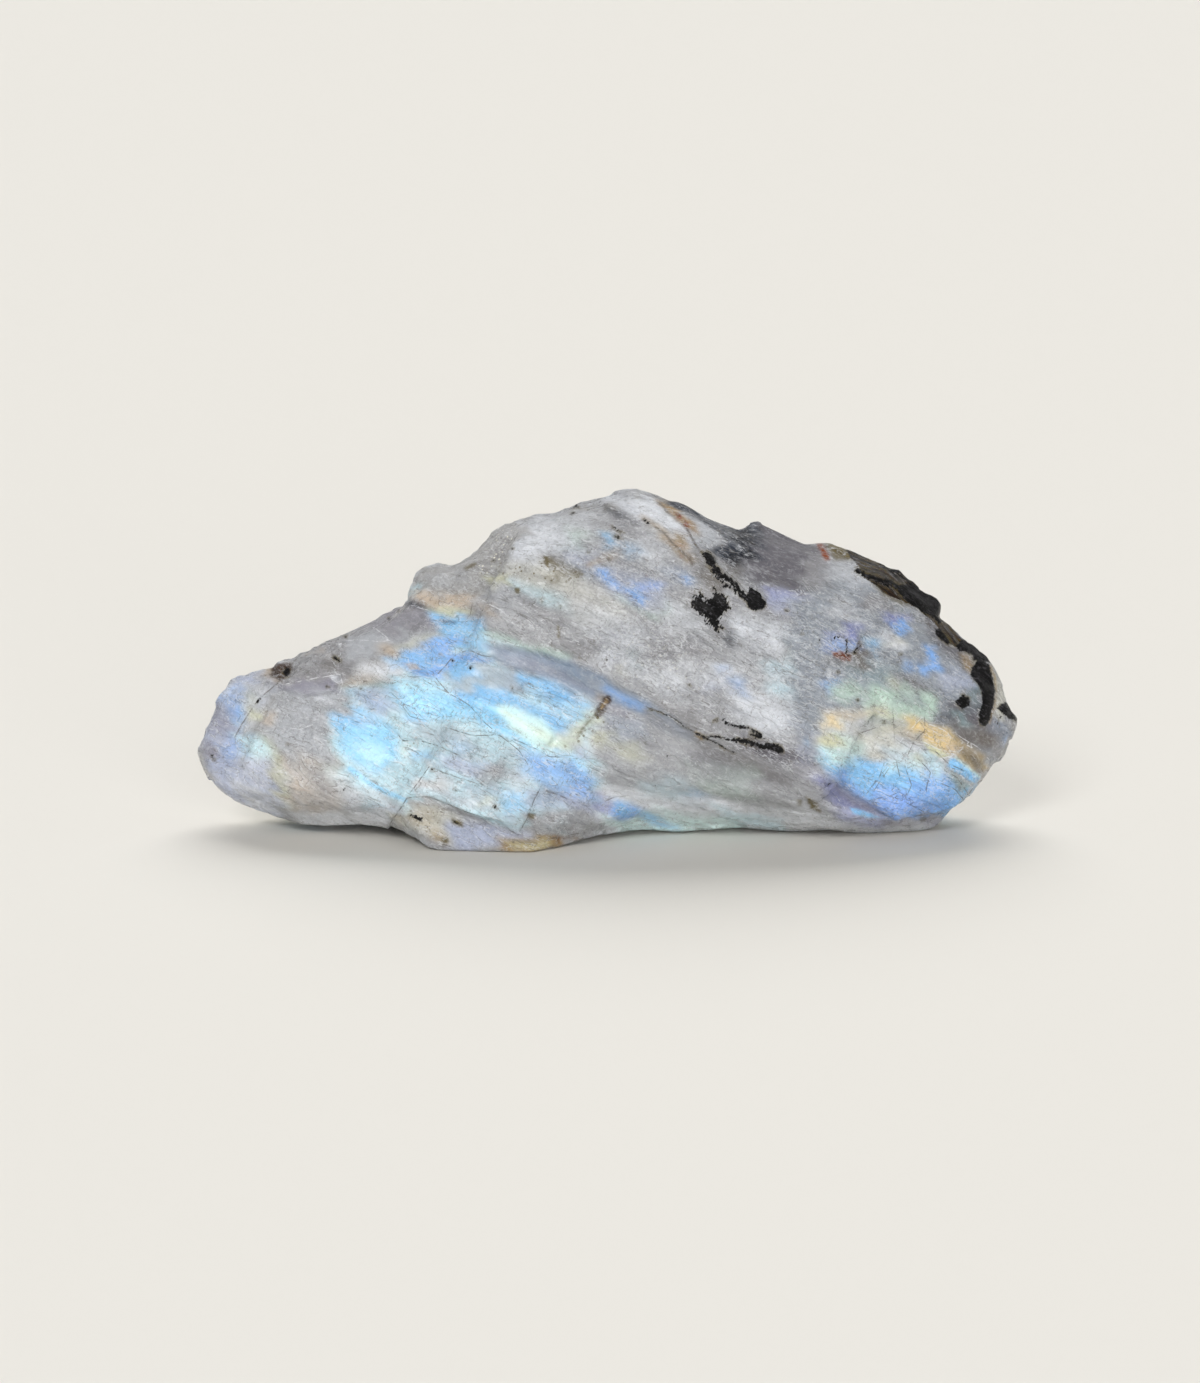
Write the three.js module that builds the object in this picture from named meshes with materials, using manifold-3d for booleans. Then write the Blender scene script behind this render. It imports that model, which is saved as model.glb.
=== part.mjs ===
// Rough moonstone: one cleaved, slightly worn lump of white feldspar that stands on a flat spot.
// It is drawn in its bedding frame, [x along its length, back, up], in millimetres. The bedding
// leans back by LEAN from upright, and a flat cut below makes the spot that it rests on.
import * as THREE from "three";
import { LoftGeometry } from "three/addons/geometries/LoftGeometry.js";
import { mergeVertices } from "three/addons/utils/BufferGeometryUtils.js";
import Module from "manifold-3d";

const HALF_LENGTH = 38;
const LEAN = THREE.MathUtils.degToRad(10);
const REST_DEPTH = 2.3; // how far above the lowest corner of the bedding frame the resting cut lies
const STATION_STEP = 1.5; // the widest gap between cross-sections
const STATION_GAP = 0.5; // the narrowest
const TIP_GAP = 0.12; // the end sections stop short of the tips, where they would close to a point
const FELDSPAR = { color: 0xb9bdc8, roughness: 0.32, metalness: 0 };

// The ridges that run the length of the stone, each a chain of [x, back, up]. They are in order
// round the section: from the crest, down the front, under the stone and up the back.
const LEFT_TIP = [-HALF_LENGTH, 0, 9.7];
const RIGHT_TIP = [HALF_LENGTH, 0, 11.9];
const ridge = (...points) => [LEFT_TIP, ...points, RIGHT_TIP];

const CREST = ridge(
  [-37.5, 0.1, 12.1], [-36.6, 0.3, 13.6], [-35.5, 0.5, 15.7], [-34.4, 0.7, 16.5], [-31.8, 1.0, 17.2],
  [-30.6, 1.2, 17.9], [-26.9, 1.7, 19.5], [-24.3, 2.0, 20.6], [-19.0, 2.7, 23.2], [-18.6, 2.8, 24.6],
  [-17.6, 3.0, 26.2], [-16.5, 3.1, 26.6], [-12.9, 3.4, 27.5], [-12.0, 3.4, 28.8], [-10.9, 3.5, 29.9],
  [-8.1, 3.5, 31.4], [-6.9, 3.4, 31.7], [-4.9, 3.3, 31.6], [-2.7, 3.2, 32.7], [-1.0, 3.2, 33.0],
  [1.4, 3.0, 33.8], [2.9, 3.0, 33.8], [7.0, 2.7, 32.5], [9.3, 2.5, 31.1], [12.4, 2.2, 30.1],
  [13.2, 2.0, 30.8], [14.1, 2.0, 30.7], [18.4, 1.8, 28.8], [21.2, 1.6, 28.9], [26.1, 1.3, 26.8],
  [29.0, 1.1, 24.4], [30.5, 1.0, 23.5], [31.2, 0.9, 22.0], [33.3, 0.7, 19.8], [35.6, 0.4, 17.8],
  [36.9, 0.2, 14.9], [37.6, 0.1, 13.6],
);
const BROW = ridge(
  [-37.6, -0.6, 11.7], [-36.4, -1.0, 13.3], [-34.0, -1.2, 15.9], [-30.0, -1.2, 17.5], [-25.0, -1.0, 19.8],
  [-19.4, -0.8, 22.4], [-17.0, -1.4, 25.4], [-12.6, -2.4, 27.2], [-9.0, -3.0, 30.0], [-4.0, -3.2, 31.2],
  [2.0, -3.4, 32.6], [7.0, -3.6, 31.4], [12.0, -3.6, 29.4], [18.0, -3.6, 28.0], [24.0, -3.4, 26.4],
  [29.0, -2.8, 23.4], [33.0, -1.8, 19.2], [36.6, -1.2, 14.8], [37.6, -0.6, 13.4],
);
const SHOULDER = ridge(
  [-37.6, -1.2, 11.4], [-36.4, -2.0, 12.9], [-34.0, -2.8, 15.2], [-30.0, -3.2, 16.9], [-25.0, -3.9, 18.9],
  [-19.2, -4.6, 22.0], [-16.5, -5.6, 24.9], [-12.0, -7.4, 26.2], [-8.3, -8.6, 28.0], [-2.0, -9.2, 28.8],
  [4.0, -9.6, 28.0], [11.0, -9.8, 25.8], [18.0, -9.4, 24.2], [25.0, -8.2, 21.8], [30.0, -6.2, 18.6],
  [33.5, -4.6, 16.2], [36.6, -2.2, 14.0], [37.6, -1.1, 12.9],
);
const FACE = ridge(
  [-37.6, -1.9, 11.0], [-36.4, -3.4, 12.4], [-34.0, -4.6, 14.2], [-30.0, -5.2, 16.0], [-25.0, -6.0, 18.2],
  [-19.2, -7.0, 21.6], [-15.7, -8.4, 23.6], [-12.0, -10.0, 24.0], [-6.0, -11.8, 24.0], [0.0, -12.8, 23.0],
  [8.0, -13.4, 20.0], [15.0, -13.2, 17.6], [22.0, -12.0, 15.2], [28.0, -10.0, 12.8], [33.0, -7.0, 12.4],
  [36.6, -3.4, 12.4], [37.6, -1.8, 12.2],
);
const LEDGE_TOP = ridge(
  [-37.6, -2.3, 10.6], [-36.4, -4.2, 11.8], [-34.0, -5.8, 13.2], [-30.0, -6.8, 15.0], [-25.0, -7.6, 17.4],
  [-19.2, -8.4, 21.0], [-15.7, -9.7, 22.2], [-12.0, -11.2, 21.8], [-8.3, -12.6, 20.7], [-4.5, -13.8, 18.8],
  [-0.8, -14.6, 17.0], [2.9, -15.0, 14.9], [6.7, -15.1, 12.7], [10.4, -14.8, 10.7], [14.1, -14.2, 9.4],
  [16.9, -13.4, 7.8], [20.7, -11.8, 5.8], [23.0, -10.4, 4.9], [27.0, -8.6, 4.4], [31.8, -6.2, 5.9],
  [34.4, -5.4, 8.4], [36.6, -3.8, 10.9], [37.6, -2.1, 11.6],
);
const LEDGE_FOOT = ridge(
  [-37.6, -2.5, 10.2], [-36.4, -4.6, 10.9], [-34.0, -6.8, 11.8], [-30.0, -8.2, 13.4], [-25.0, -9.4, 16.0],
  [-19.2, -9.6, 19.6], [-15.7, -9.9, 20.0], [-12.0, -10.5, 19.4], [-8.3, -11.3, 18.2], [-4.5, -12.1, 16.4],
  [-0.8, -12.7, 14.6], [2.9, -13.0, 12.5], [6.7, -13.1, 10.6], [10.4, -13.0, 8.8], [14.1, -12.5, 7.4],
  [16.9, -11.9, 6.0], [20.7, -10.3, 4.2], [23.0, -8.8, 3.4], [27.0, -7.0, 3.2], [31.8, -4.8, 4.6],
  [34.4, -4.2, 7.2], [36.6, -3.2, 9.9], [37.6, -1.9, 11.1],
);
const BELLY = ridge(
  [-37.6, -2.3, 9.7], [-36.4, -4.6, 9.6], [-34.0, -7.4, 9.8], [-30.0, -9.8, 10.2], [-25.0, -11.8, 11.2],
  [-19.0, -13.2, 12.2], [-12.0, -14.3, 11.2], [-5.0, -14.2, 10.0], [0.0, -13.4, 8.8], [6.0, -12.4, 7.0],
  [12.0, -11.6, 5.6], [18.0, -10.2, 4.2], [23.0, -8.2, 2.9], [27.0, -6.0, 2.5], [31.8, -3.8, 3.8],
  [34.4, -3.4, 6.4], [36.6, -2.6, 9.2], [37.6, -1.6, 10.7],
);
const LOWER_EDGE = ridge(
  [-37.6, -1.5, 9.1], [-36.4, -3.4, 7.8], [-34.0, -5.8, 6.4], [-30.0, -7.8, 5.4], [-25.0, -9.8, 5.0],
  [-20.6, -11.2, 5.2], [-17.0, -13.0, 4.6], [-12.0, -13.6, 3.8], [-5.0, -12.8, 2.8], [-1.7, -10.4, 3.2],
  [3.0, -8.6, 4.0], [9.0, -8.2, 3.6], [15.0, -7.8, 3.2], [21.0, -6.6, 2.6], [25.0, -4.9, 2.2],
  [29.0, -3.0, 2.2], [32.0, -2.2, 3.2], [34.4, -2.0, 5.9], [36.6, -1.6, 8.7], [37.6, -1.0, 10.3],
);
const BOTTOM_FRONT = ridge(
  [-37.6, -0.4, 8.6], [-37.0, -0.8, 7.1], [-36.2, -1.2, 5.9], [-35.1, -1.6, 4.9], [-34.0, -2.0, 4.5],
  [-31.3, -3.0, 3.7], [-28.6, -4.0, 2.7], [-26.3, -4.6, 2.5], [-23.0, -5.4, 2.7], [-20.6, -6.4, 2.5],
  [-18.2, -10.4, 1.1], [-15.1, -12.6, -0.3], [-12.4, -12.9, -0.3], [-8.4, -12.6, -0.3], [-5.8, -11.2, 0.2],
  [-3.5, -9.2, 1.1], [-1.7, -7.0, 1.7], [0.1, -5.2, 2.1], [3.1, -4.0, 2.4], [6.0, -3.6, 1.8],
  [9.0, -3.6, 1.9], [11.6, -3.4, 2.3], [17.0, -3.2, 2.0], [21.0, -2.8, 2.1], [22.3, -2.6, 1.8],
  [27.5, -1.8, 1.7], [29.9, -1.4, 2.1], [31.8, -1.0, 2.8], [33.3, -0.8, 4.6], [34.9, -0.6, 6.8],
  [36.5, -0.3, 8.3], [37.3, -0.2, 9.8],
);
const UNDERSIDE = ridge(
  [-37.6, 0.6, 8.8], [-36.4, 1.0, 6.9], [-34.0, 1.2, 5.2], [-31.0, 1.0, 4.3], [-26.0, 0.6, 3.6],
  [-20.0, -0.6, 2.9], [-15.0, -2.4, 1.5], [-8.0, -1.6, 1.4], [0.0, 1.5, 1.8], [8.0, 2.2, 1.9],
  [16.0, 2.2, 1.9], [22.0, 2.0, 2.2], [26.0, 1.8, 2.6], [30.0, 1.6, 3.2], [33.0, 1.2, 5.1],
  [36.6, 0.6, 8.6], [37.6, 0.4, 10.2],
);
const BOTTOM_BACK = ridge(
  [-37.6, 1.3, 9.0], [-36.4, 2.8, 7.5], [-34.0, 4.8, 6.5], [-31.0, 6.2, 6.0], [-26.0, 8.0, 5.7],
  [-20.0, 9.0, 5.3], [-14.0, 9.6, 4.9], [0.0, 9.8, 4.7], [12.0, 9.2, 4.6], [22.0, 7.8, 4.6],
  [29.0, 5.8, 4.8], [33.0, 4.2, 6.0], [36.6, 2.4, 9.0], [37.6, 1.3, 10.6],
);
const BACK_LOW = ridge(
  [-37.6, 2.0, 9.8], [-36.4, 4.2, 9.5], [-34.0, 6.8, 9.2], [-31.0, 8.6, 9.0], [-24.0, 11.4, 9.4],
  [-14.0, 13.6, 9.6], [-2.0, 14.6, 10.0], [10.0, 14.2, 9.8], [20.0, 12.6, 9.4], [28.0, 9.6, 9.2],
  [33.0, 6.8, 9.4], [36.6, 3.4, 10.8], [37.6, 2.0, 11.4],
);
const BACK_HIGH = ridge(
  [-37.6, 1.6, 11.2], [-36.4, 3.2, 12.2], [-34.0, 5.0, 13.4], [-31.0, 6.6, 14.0], [-24.0, 9.4, 16.4],
  [-16.0, 11.6, 20.2], [-6.0, 12.9, 23.2], [4.0, 12.8, 24.2], [14.0, 11.8, 22.2], [23.0, 9.9, 20.2],
  [29.5, 7.4, 17.0], [34.0, 4.6, 14.6], [36.6, 2.8, 13.6], [37.6, 1.6, 12.8],
);
const BACK_CREST = ridge(
  [-37.6, 0.8, 11.7], [-36.4, 1.6, 13.2], [-34.0, 2.6, 15.4], [-31.0, 3.6, 16.4], [-24.0, 5.4, 19.4],
  [-19.0, 6.2, 21.8], [-16.0, 7.0, 24.8], [-11.0, 8.0, 28.0], [-6.0, 8.4, 29.8], [2.0, 8.2, 31.4],
  [9.0, 7.4, 29.6], [16.0, 6.4, 28.0], [22.0, 5.4, 26.8], [28.0, 4.0, 23.6], [32.0, 2.8, 19.9],
  [35.6, 1.6, 16.2], [37.6, 0.8, 13.2],
);
// Each ridge, with how many strips of skin reach from it to the next.
const RIDGES = [
  [CREST, 2], [BROW, 3], [SHOULDER, 4], [FACE, 5], [LEDGE_TOP, 2], [LEDGE_FOOT, 5], [BELLY, 4],
  [LOWER_EDGE, 3], [BOTTOM_FRONT, 4], [UNDERSIDE, 4], [BOTTOM_BACK, 4], [BACK_LOW, 8], [BACK_HIGH, 5],
  [BACK_CREST, 3],
];

// The soft swell of the skin: each layer's bump width, and its push along [x, back, up].
const SWELL = [
  { width: 9.0, push: [0.25, 0.7, 0.3] },
  { width: 4.0, push: [0.15, 0.3, 0.15] },
];
// The mosaic of broken cleavage slabs: their size [along, back, across] the cleavage, which slopes
// down to the right, and how far a slab stands out or tilts.
const SLAB = { slope: THREE.MathUtils.degToRad(-25), size: [8.5, 7.0, 3.4], offset: 0.45, tilt: 0.1 };

// Flat cleavage faces: the stone ends at each plane through `at`, whose normal faces out.
const CLEAVAGES = [
  { at: [-34.0, -6.9, 9.6], out: [-0.66, -0.74, 0.05] },
  { at: [31.0, -7.9, 8.6], out: [0.5, -0.85, -0.16] },
  { at: [35.4, 0.0, 7.2], out: [0.74, -0.2, -0.62] },
  { at: [14.0, -7.6, 27.4], out: [0.2, -0.52, 0.83] },
  { at: [-27.0, 9.2, 10.0], out: [-0.42, 0.9, -0.02] },
  { at: [0.0, 13.5, 14.0], out: [0.02, 0.99, 0.1] },
  { at: [25.0, 9.6, 13.0], out: [0.46, 0.88, 0.06] },
  { at: [2.0, 9.2, 29.4], out: [-0.06, 0.66, 0.75] },
];

// Ledges where a slab has broken away. A riser runs from one [x, up] place to another on the front
// or back, and the slab is missing on its right-hand side, as seen from outside. The tread left
// there faces `tread` and lies `drop` deep at the middle of the riser. A flare of 0 is a riser
// square to the tread. `breaks` says at which of the two places a cross-break ends the ledge.
const LEDGES = [
  { side: "front", from: [-8.2, 30], to: [-12.8, 21.4], tread: [-0.3, -0.75, 0.55], drop: 0.9, flare: 0.5 },
  { side: "front", from: [-29.6, 16.4], to: [-34.4, 9.2], tread: [-0.5, -0.8, 0.2], drop: 0.5, flare: 0.4 },
  { side: "front", from: [-16.2, 8.8], to: [-19.6, 3.6], tread: [-0.16, -0.98, 0], drop: 0.6, flare: 0.3 },
  { side: "front", from: [-19.5, 10.9], to: [-10.5, 6.4], tread: [-0.1, -0.97, 0.22], drop: 0.6, flare: 0.3 },
  { side: "front", from: [-19.2, 5.2], to: [-9, 2.4], tread: [-0.1, -0.97, -0.14], drop: 0.6, flare: 0.3 },
  {
    side: "front", from: [-16, 16.6], to: [-5, 11.2], tread: [0, -0.97, 0.24], drop: 0.6, flare: 0.7,
    breaks: ["to"],
  },
  { side: "front", from: [-31.5, 13.6], to: [-24.5, 11.4], tread: [-0.4, -0.9, 0.2], drop: 0.7, flare: 0.5 },
  { side: "front", from: [14.4, 21.8], to: [8, 28.6], tread: [0.14, -0.8, 0.55], drop: 0.7, flare: 0.5 },
  {
    side: "front", from: [24.6, 13.4], to: [33.6, 8], tread: [0.3, -0.95, 0.02], drop: 0.8, flare: 0.5,
    breaks: ["from", "to"],
  },
  {
    side: "front", from: [-3, 24.6], to: [7.6, 20.4], tread: [0, -0.9, 0.44], drop: 0.6, flare: 0.9,
    breaks: ["to"],
  },
  { side: "back", from: [2, 9], to: [-22, 17.6], tread: [-0.26, 0.96, 0.04], drop: 1.1, flare: 0.5 },
  { side: "back", from: [4, 25.4], to: [24, 13.6], tread: [0.24, 0.9, 0.34], drop: 1, flare: 0.6 },
  { side: "back", from: [31, 8], to: [24, 11.6], tread: [0.5, 0.86, 0.1], drop: 0.7, flare: 0.4 },
  { side: "back", from: [-18, 15], to: [-10, 26], tread: [-0.36, 0.8, 0.48], drop: 0.9, flare: 0.6 },
];

// A number from 0 to 1 that is fixed for each lattice point and channel.
function hash(i, j, k, channel) {
  let h = Math.imul(i, 374761393) ^ Math.imul(j, 668265263) ^ Math.imul(k, 1442695041);
  h = Math.imul(h ^ Math.imul(channel + 1, 974711) ^ (h >>> 13), 1274126177);
  h = Math.imul(h ^ (h >>> 15), 2246822519);
  return ((h ^ (h >>> 16)) >>> 0) / 4294967296;
}

// Smooth noise from -1 to 1 over space.
function noise(p, width, channel) {
  const scaled = p.map((v) => v / width);
  const [i, j, k] = scaled.map(Math.floor);
  const [u, v, w] = scaled.map((t) => t - Math.floor(t)).map((t) => t * t * (3 - 2 * t));
  const at = (a, b, c) => hash(i + a, j + b, k + c, channel);
  const mix = THREE.MathUtils.lerp;
  const plane = (c) => mix(mix(at(0, 0, c), at(1, 0, c), u), mix(at(0, 1, c), at(1, 1, c), u), v);
  return 2 * mix(plane(0), plane(1), w) - 1;
}

// How far the slab that a point belongs to stands out: it is flat over each cell of the mosaic.
function slabHeight([x, back, up]) {
  const [c, s] = [Math.cos(SLAB.slope), Math.sin(SLAB.slope)];
  const q = [x * c + up * s, back, up * c - x * s].map((v, axis) => v / SLAB.size[axis]);
  const home = q.map(Math.floor);
  let best = { distance: Infinity };
  for (const i of [-1, 0, 1]) for (const j of [-1, 0, 1]) for (const k of [-1, 0, 1]) {
    const cell = [home[0] + i, home[1] + j, home[2] + k];
    const offset = cell.map((v, axis) => q[axis] - v - hash(...cell, 20 + axis));
    const distance = Math.hypot(...offset);
    if (distance < best.distance) best = { distance, cell, offset };
  }
  const draw = (channel) => 2 * hash(...best.cell, channel) - 1;
  const tilt = SLAB.size[0] * best.offset[0] * draw(31) + SLAB.size[2] * best.offset[2] * draw(32);
  return SLAB.offset * draw(30) + SLAB.tilt * tilt;
}

function roughened(p) {
  const moved = [...p];
  SWELL.forEach(({ width, push }, layer) => {
    push.forEach((reach, axis) => {
      moved[axis] += reach * noise(p, width, 3 * layer + axis + 1);
    });
  });
  moved[1] += slabHeight(p);
  return moved;
}

// The point of a ridge at x, between the two points of its chain that x lies between.
function onRidge(chain, x) {
  const after = Math.max(1, chain.findIndex((point) => point[0] >= x));
  const [a, b] = [chain[after - 1], chain[after]];
  const share = (x - a[0]) / (b[0] - a[0]);
  return [x, THREE.MathUtils.lerp(a[1], b[1], share), THREE.MathUtils.lerp(a[2], b[2], share)];
}

function section(x) {
  return RIDGES.flatMap(([chain, strips], i) => {
    const from = onRidge(chain, x);
    const to = onRidge(RIDGES[(i + 1) % RIDGES.length][0], x);
    const between = (share) => from.map((v, axis) => THREE.MathUtils.lerp(v, to[axis], share));
    return Array.from({ length: strips }, (_, s) => between(s / strips));
  });
}

// Cross-sections pass through the points of the outline, and between them where it runs far.
function stations() {
  const end = HALF_LENGTH - TIP_GAP;
  const marks = [...CREST, ...BOTTOM_FRONT].map((point) => point[0]).sort((a, b) => a - b);
  const kept = [-end];
  for (const x of [...marks.filter((mark) => Math.abs(mark) < end), end]) {
    const last = kept.at(-1);
    if (x - last < STATION_GAP && x < end) continue;
    const steps = Math.ceil((x - last) / STATION_STEP);
    for (let s = 1; s <= steps; s++) kept.push(last + ((x - last) * s) / steps);
  }
  return kept;
}

function skin() {
  const sections = stations().map((x) => section(x).map((p) => new THREE.Vector3(...roughened(p))));
  return new LoftGeometry(sections, { capStart: true, capEnd: true });
}

const wasm = await Module();
wasm.setup();

function toSolid(geometry) {
  const bare = new THREE.BufferGeometry();
  bare.setAttribute("position", geometry.getAttribute("position"));
  bare.setIndex(geometry.getIndex());
  const merged = mergeVertices(bare, 1e-4);
  const vertProperties = merged.attributes.position.array;
  const triVerts = new Uint32Array(merged.index.array);
  return new wasm.Manifold(new wasm.Mesh({ numProp: 3, vertProperties, triVerts }));
}

function toGeometry(solid) {
  const { vertProperties, triVerts } = solid.getMesh();
  const geometry = new THREE.BufferGeometry();
  geometry.setAttribute("position", new THREE.BufferAttribute(vertProperties, 3));
  geometry.setIndex(new THREE.BufferAttribute(triVerts, 1));
  geometry.computeVertexNormals();
  return geometry;
}

// Everything on the outer side of a plane, as a block far larger than the stone.
function beyond({ at, out }) {
  const size = 8 * HALF_LENGTH;
  const block = new THREE.BoxGeometry(size, size, size).translate(0, 0, size / 2);
  const normal = new THREE.Vector3(...out).normalize();
  block.applyQuaternion(new THREE.Quaternion().setFromUnitVectors(new THREE.Vector3(0, 0, 1), normal));
  return toSolid(block.translate(...at));
}

// Where a line square to the bedding, at [x, up], first meets the skin on the given side.
function onSkin(mesh, side, [x, up]) {
  const outward = new THREE.Vector3(0, side === "front" ? -1 : 1, 0);
  const start = new THREE.Vector3(x, 0, up).addScaledVector(outward, 4 * HALF_LENGTH);
  const [hit] = new THREE.Raycaster(start, outward.negate()).intersectObject(mesh);
  return hit.point;
}

// The planes that bound what is missing at a ledge: its riser, its tread and its cross-breaks.
function ledgePlanes(mesh, { side, from, to, tread, drop, flare, breaks = [] }) {
  const [start, end] = [from, to].map((place) => onSkin(mesh, side, place));
  const along = end.clone().sub(start).normalize();
  const face = new THREE.Vector3(...tread).normalize();
  const floor = start.clone().lerp(end, 0.5).addScaledVector(face, -drop);
  const riser = along.clone().cross(face).normalize().addScaledVector(face, flare);
  const planes = [{ at: start, out: riser }, { at: floor, out: face }];
  if (breaks.includes("from")) planes.push({ at: start, out: along });
  if (breaks.includes("to")) planes.push({ at: end, out: along.clone().negate() });
  return planes;
}

function missingAt(planes) {
  const [first, ...rest] = planes.map(beyond);
  return rest.reduce((shared, block) => shared.intersect(block), first);
}

function carved() {
  const rough = skin();
  const mesh = new THREE.Mesh(rough, new THREE.MeshBasicMaterial({ side: THREE.DoubleSide }));
  const faces = CLEAVAGES.map((plane) => [plane]);
  const ledges = LEDGES.map((ledge) => ledgePlanes(mesh, ledge));
  const under = { at: [0, 0, REST_DEPTH / Math.cos(LEAN)], out: [0, Math.sin(LEAN), -Math.cos(LEAN)] };
  const whole = toSolid(rough);
  return [...faces, ...ledges, [under]].reduce((left, planes) => left.subtract(missingAt(planes)), whole);
}

const stone = new THREE.Mesh(toGeometry(carved()), new THREE.MeshStandardMaterial(FELDSPAR));
stone.name = "moonstone";
stone.rotation.x = -LEAN;
stone.updateMatrixWorld(true);
const bounds = new THREE.Box3().setFromObject(stone, true);
const middle = bounds.getCenter(new THREE.Vector3());
stone.position.set(-middle.x, -middle.y, -bounds.min.z);

const group = new THREE.Group();
group.add(stone);
export default group;
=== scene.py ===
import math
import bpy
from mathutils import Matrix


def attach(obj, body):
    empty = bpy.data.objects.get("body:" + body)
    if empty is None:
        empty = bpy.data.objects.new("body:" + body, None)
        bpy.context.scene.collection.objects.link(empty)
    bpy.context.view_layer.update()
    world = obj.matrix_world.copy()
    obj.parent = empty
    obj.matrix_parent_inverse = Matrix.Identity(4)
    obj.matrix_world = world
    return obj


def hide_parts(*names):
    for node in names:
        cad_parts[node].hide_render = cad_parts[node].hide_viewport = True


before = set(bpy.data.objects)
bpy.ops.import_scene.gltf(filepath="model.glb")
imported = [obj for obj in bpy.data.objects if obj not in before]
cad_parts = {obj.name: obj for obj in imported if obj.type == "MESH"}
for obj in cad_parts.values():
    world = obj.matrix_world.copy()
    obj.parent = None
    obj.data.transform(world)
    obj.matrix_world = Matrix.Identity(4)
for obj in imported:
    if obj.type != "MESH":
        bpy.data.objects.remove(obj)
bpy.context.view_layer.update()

# Rough moonstone: one lump of white feldspar with blue flash, milky clouds and black inclusions.
# The stone is worked on in its bedding frame, [x along its length, back, up] in millimetres,
# which leans back by LEAN from upright. The camera looks straight along that frame's back axis.
# Where the shapes on the front lie is written in pixels of the photograph.
from types import SimpleNamespace

import bpy
import numpy as np
from mathutils import Vector

MM = 0.001
LEAN = math.radians(10)
BED_ORIGIN = np.array([0.03, -1.745, -2.3])  # the bedding frame's origin in the row frame, in mm

PHOTO_WIDTH, PHOTO_HEIGHT = 1200, 1383
STONE_LENGTH, STONE_PIXELS = 76, 815  # the stone's length in mm and in the photograph
PIXEL = STONE_LENGTH / STONE_PIXELS  # mm
ORIGIN_PIXEL = (608.5, 852)  # where the bedding frame's origin shows
LENS, SENSOR = 150, 36  # mm
SIGHT = 20  # m, how far the camera sees
CAMERA_DISTANCE = PHOTO_HEIGHT * PIXEL * LENS / SENSOR
AIM_X = (PHOTO_WIDTH / 2 - ORIGIN_PIXEL[0]) * PIXEL
AIM_UP = (ORIGIN_PIXEL[1] - PHOTO_HEIGHT / 2) * PIXEL

CREAM = (236, 233, 226)  # the floor and the backdrop
AROUND = (0.27, 0.27, 0.27)  # the light from every side
FLOOR_LIGHT = 1.18  # how brightly the studio lights a white floor
FRONT_LIGHT = 1.175  # how brightly it lights a white surface that faces the camera
STUDIO_RADIUS = 3.0  # m
BACKDROP_GAP = 0.5  # m, from the floor's rim to the backdrop
# Distant lights: where each comes from, how many degrees wide it is, how brightly it lights a white surface
# that faces it, and whether the stone mirrors it.
LIGHTS = (
    ("overhead", (0.0, 1.10, 1.0), 50, 0.88, False),
    ("key", (-0.34, -0.94, 0.58), 20, 0.45, True),
    ("fill", (0.20, -1.0, 0.18), 30, 0.50, False),
)


def bed_axes():
    """The bedding frame's x, back and up directions in the row frame, as rows."""
    c, s = math.cos(LEAN), math.sin(LEAN)
    return np.array([[1, 0, 0], [0, c, -s], [0, s, c]])


def to_row(bed):
    return np.asarray(bed, float) @ bed_axes() + BED_ORIGIN


def to_bed(row):
    return (np.asarray(row, float) - BED_ORIGIN) @ bed_axes().T


def to_photo(bed):
    """The photograph's pixel at which a point of the bedding frame shows."""
    spread = CAMERA_DISTANCE / (CAMERA_DISTANCE + bed[:, 1]) / PIXEL
    u = PHOTO_WIDTH / 2 + (bed[:, 0] - AIM_X) * spread
    v = PHOTO_HEIGHT / 2 - (bed[:, 2] - AIM_UP) * spread
    return np.stack([u, v], axis=1)


def linear(rgb):
    """A colour of 0 to 255 as it shows on a screen, as linear light, by the sRGB curve."""
    c = np.asarray(rgb, float) / 255
    return np.where(c <= 0.04045, c / 12.92, ((c + 0.055) / 1.055) ** 2.4)


def smoothstep(low, high, x):
    t = np.clip((x - low) / (high - low), 0, 1)
    return t * t * (3 - 2 * t)


# ---------------------------------------------------------------- camera, light and floor

def add_camera():
    camera = bpy.data.objects.new("camera", bpy.data.cameras.new("camera"))
    camera.data.lens = LENS
    camera.data.sensor_width = SENSOR
    camera.data.clip_end = SIGHT
    aim = Vector(to_row([AIM_X, 0, AIM_UP]) * MM)
    sight = Vector(bed_axes()[1])
    camera.location = aim - sight * CAMERA_DISTANCE * MM
    camera.rotation_euler = sight.to_track_quat("-Z", "Y").to_euler()
    bpy.context.scene.collection.objects.link(camera)
    bpy.context.scene.camera = camera


def add_light(name, direction, width, share, glints):
    light = bpy.data.lights.new(name, "SUN")
    light.angle = math.radians(width)
    light.energy = math.pi * share
    lamp = bpy.data.objects.new(name, light)
    lamp.rotation_euler = Vector(direction).to_track_quat("Z", "Y").to_euler()
    lamp.visible_glossy = glints
    bpy.context.scene.collection.objects.link(lamp)


def add_world():
    world = bpy.data.worlds.new("studio")
    world.use_nodes = True
    world.node_tree.nodes["Background"].inputs["Color"].default_value = (*AROUND, 1)
    bpy.context.scene.world = world
    bpy.context.scene.view_settings.view_transform = "Standard"


def plain_material(name):
    material = bpy.data.materials.new(name)
    material.use_nodes = True
    return material, material.node_tree.nodes["Principled BSDF"]


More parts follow.
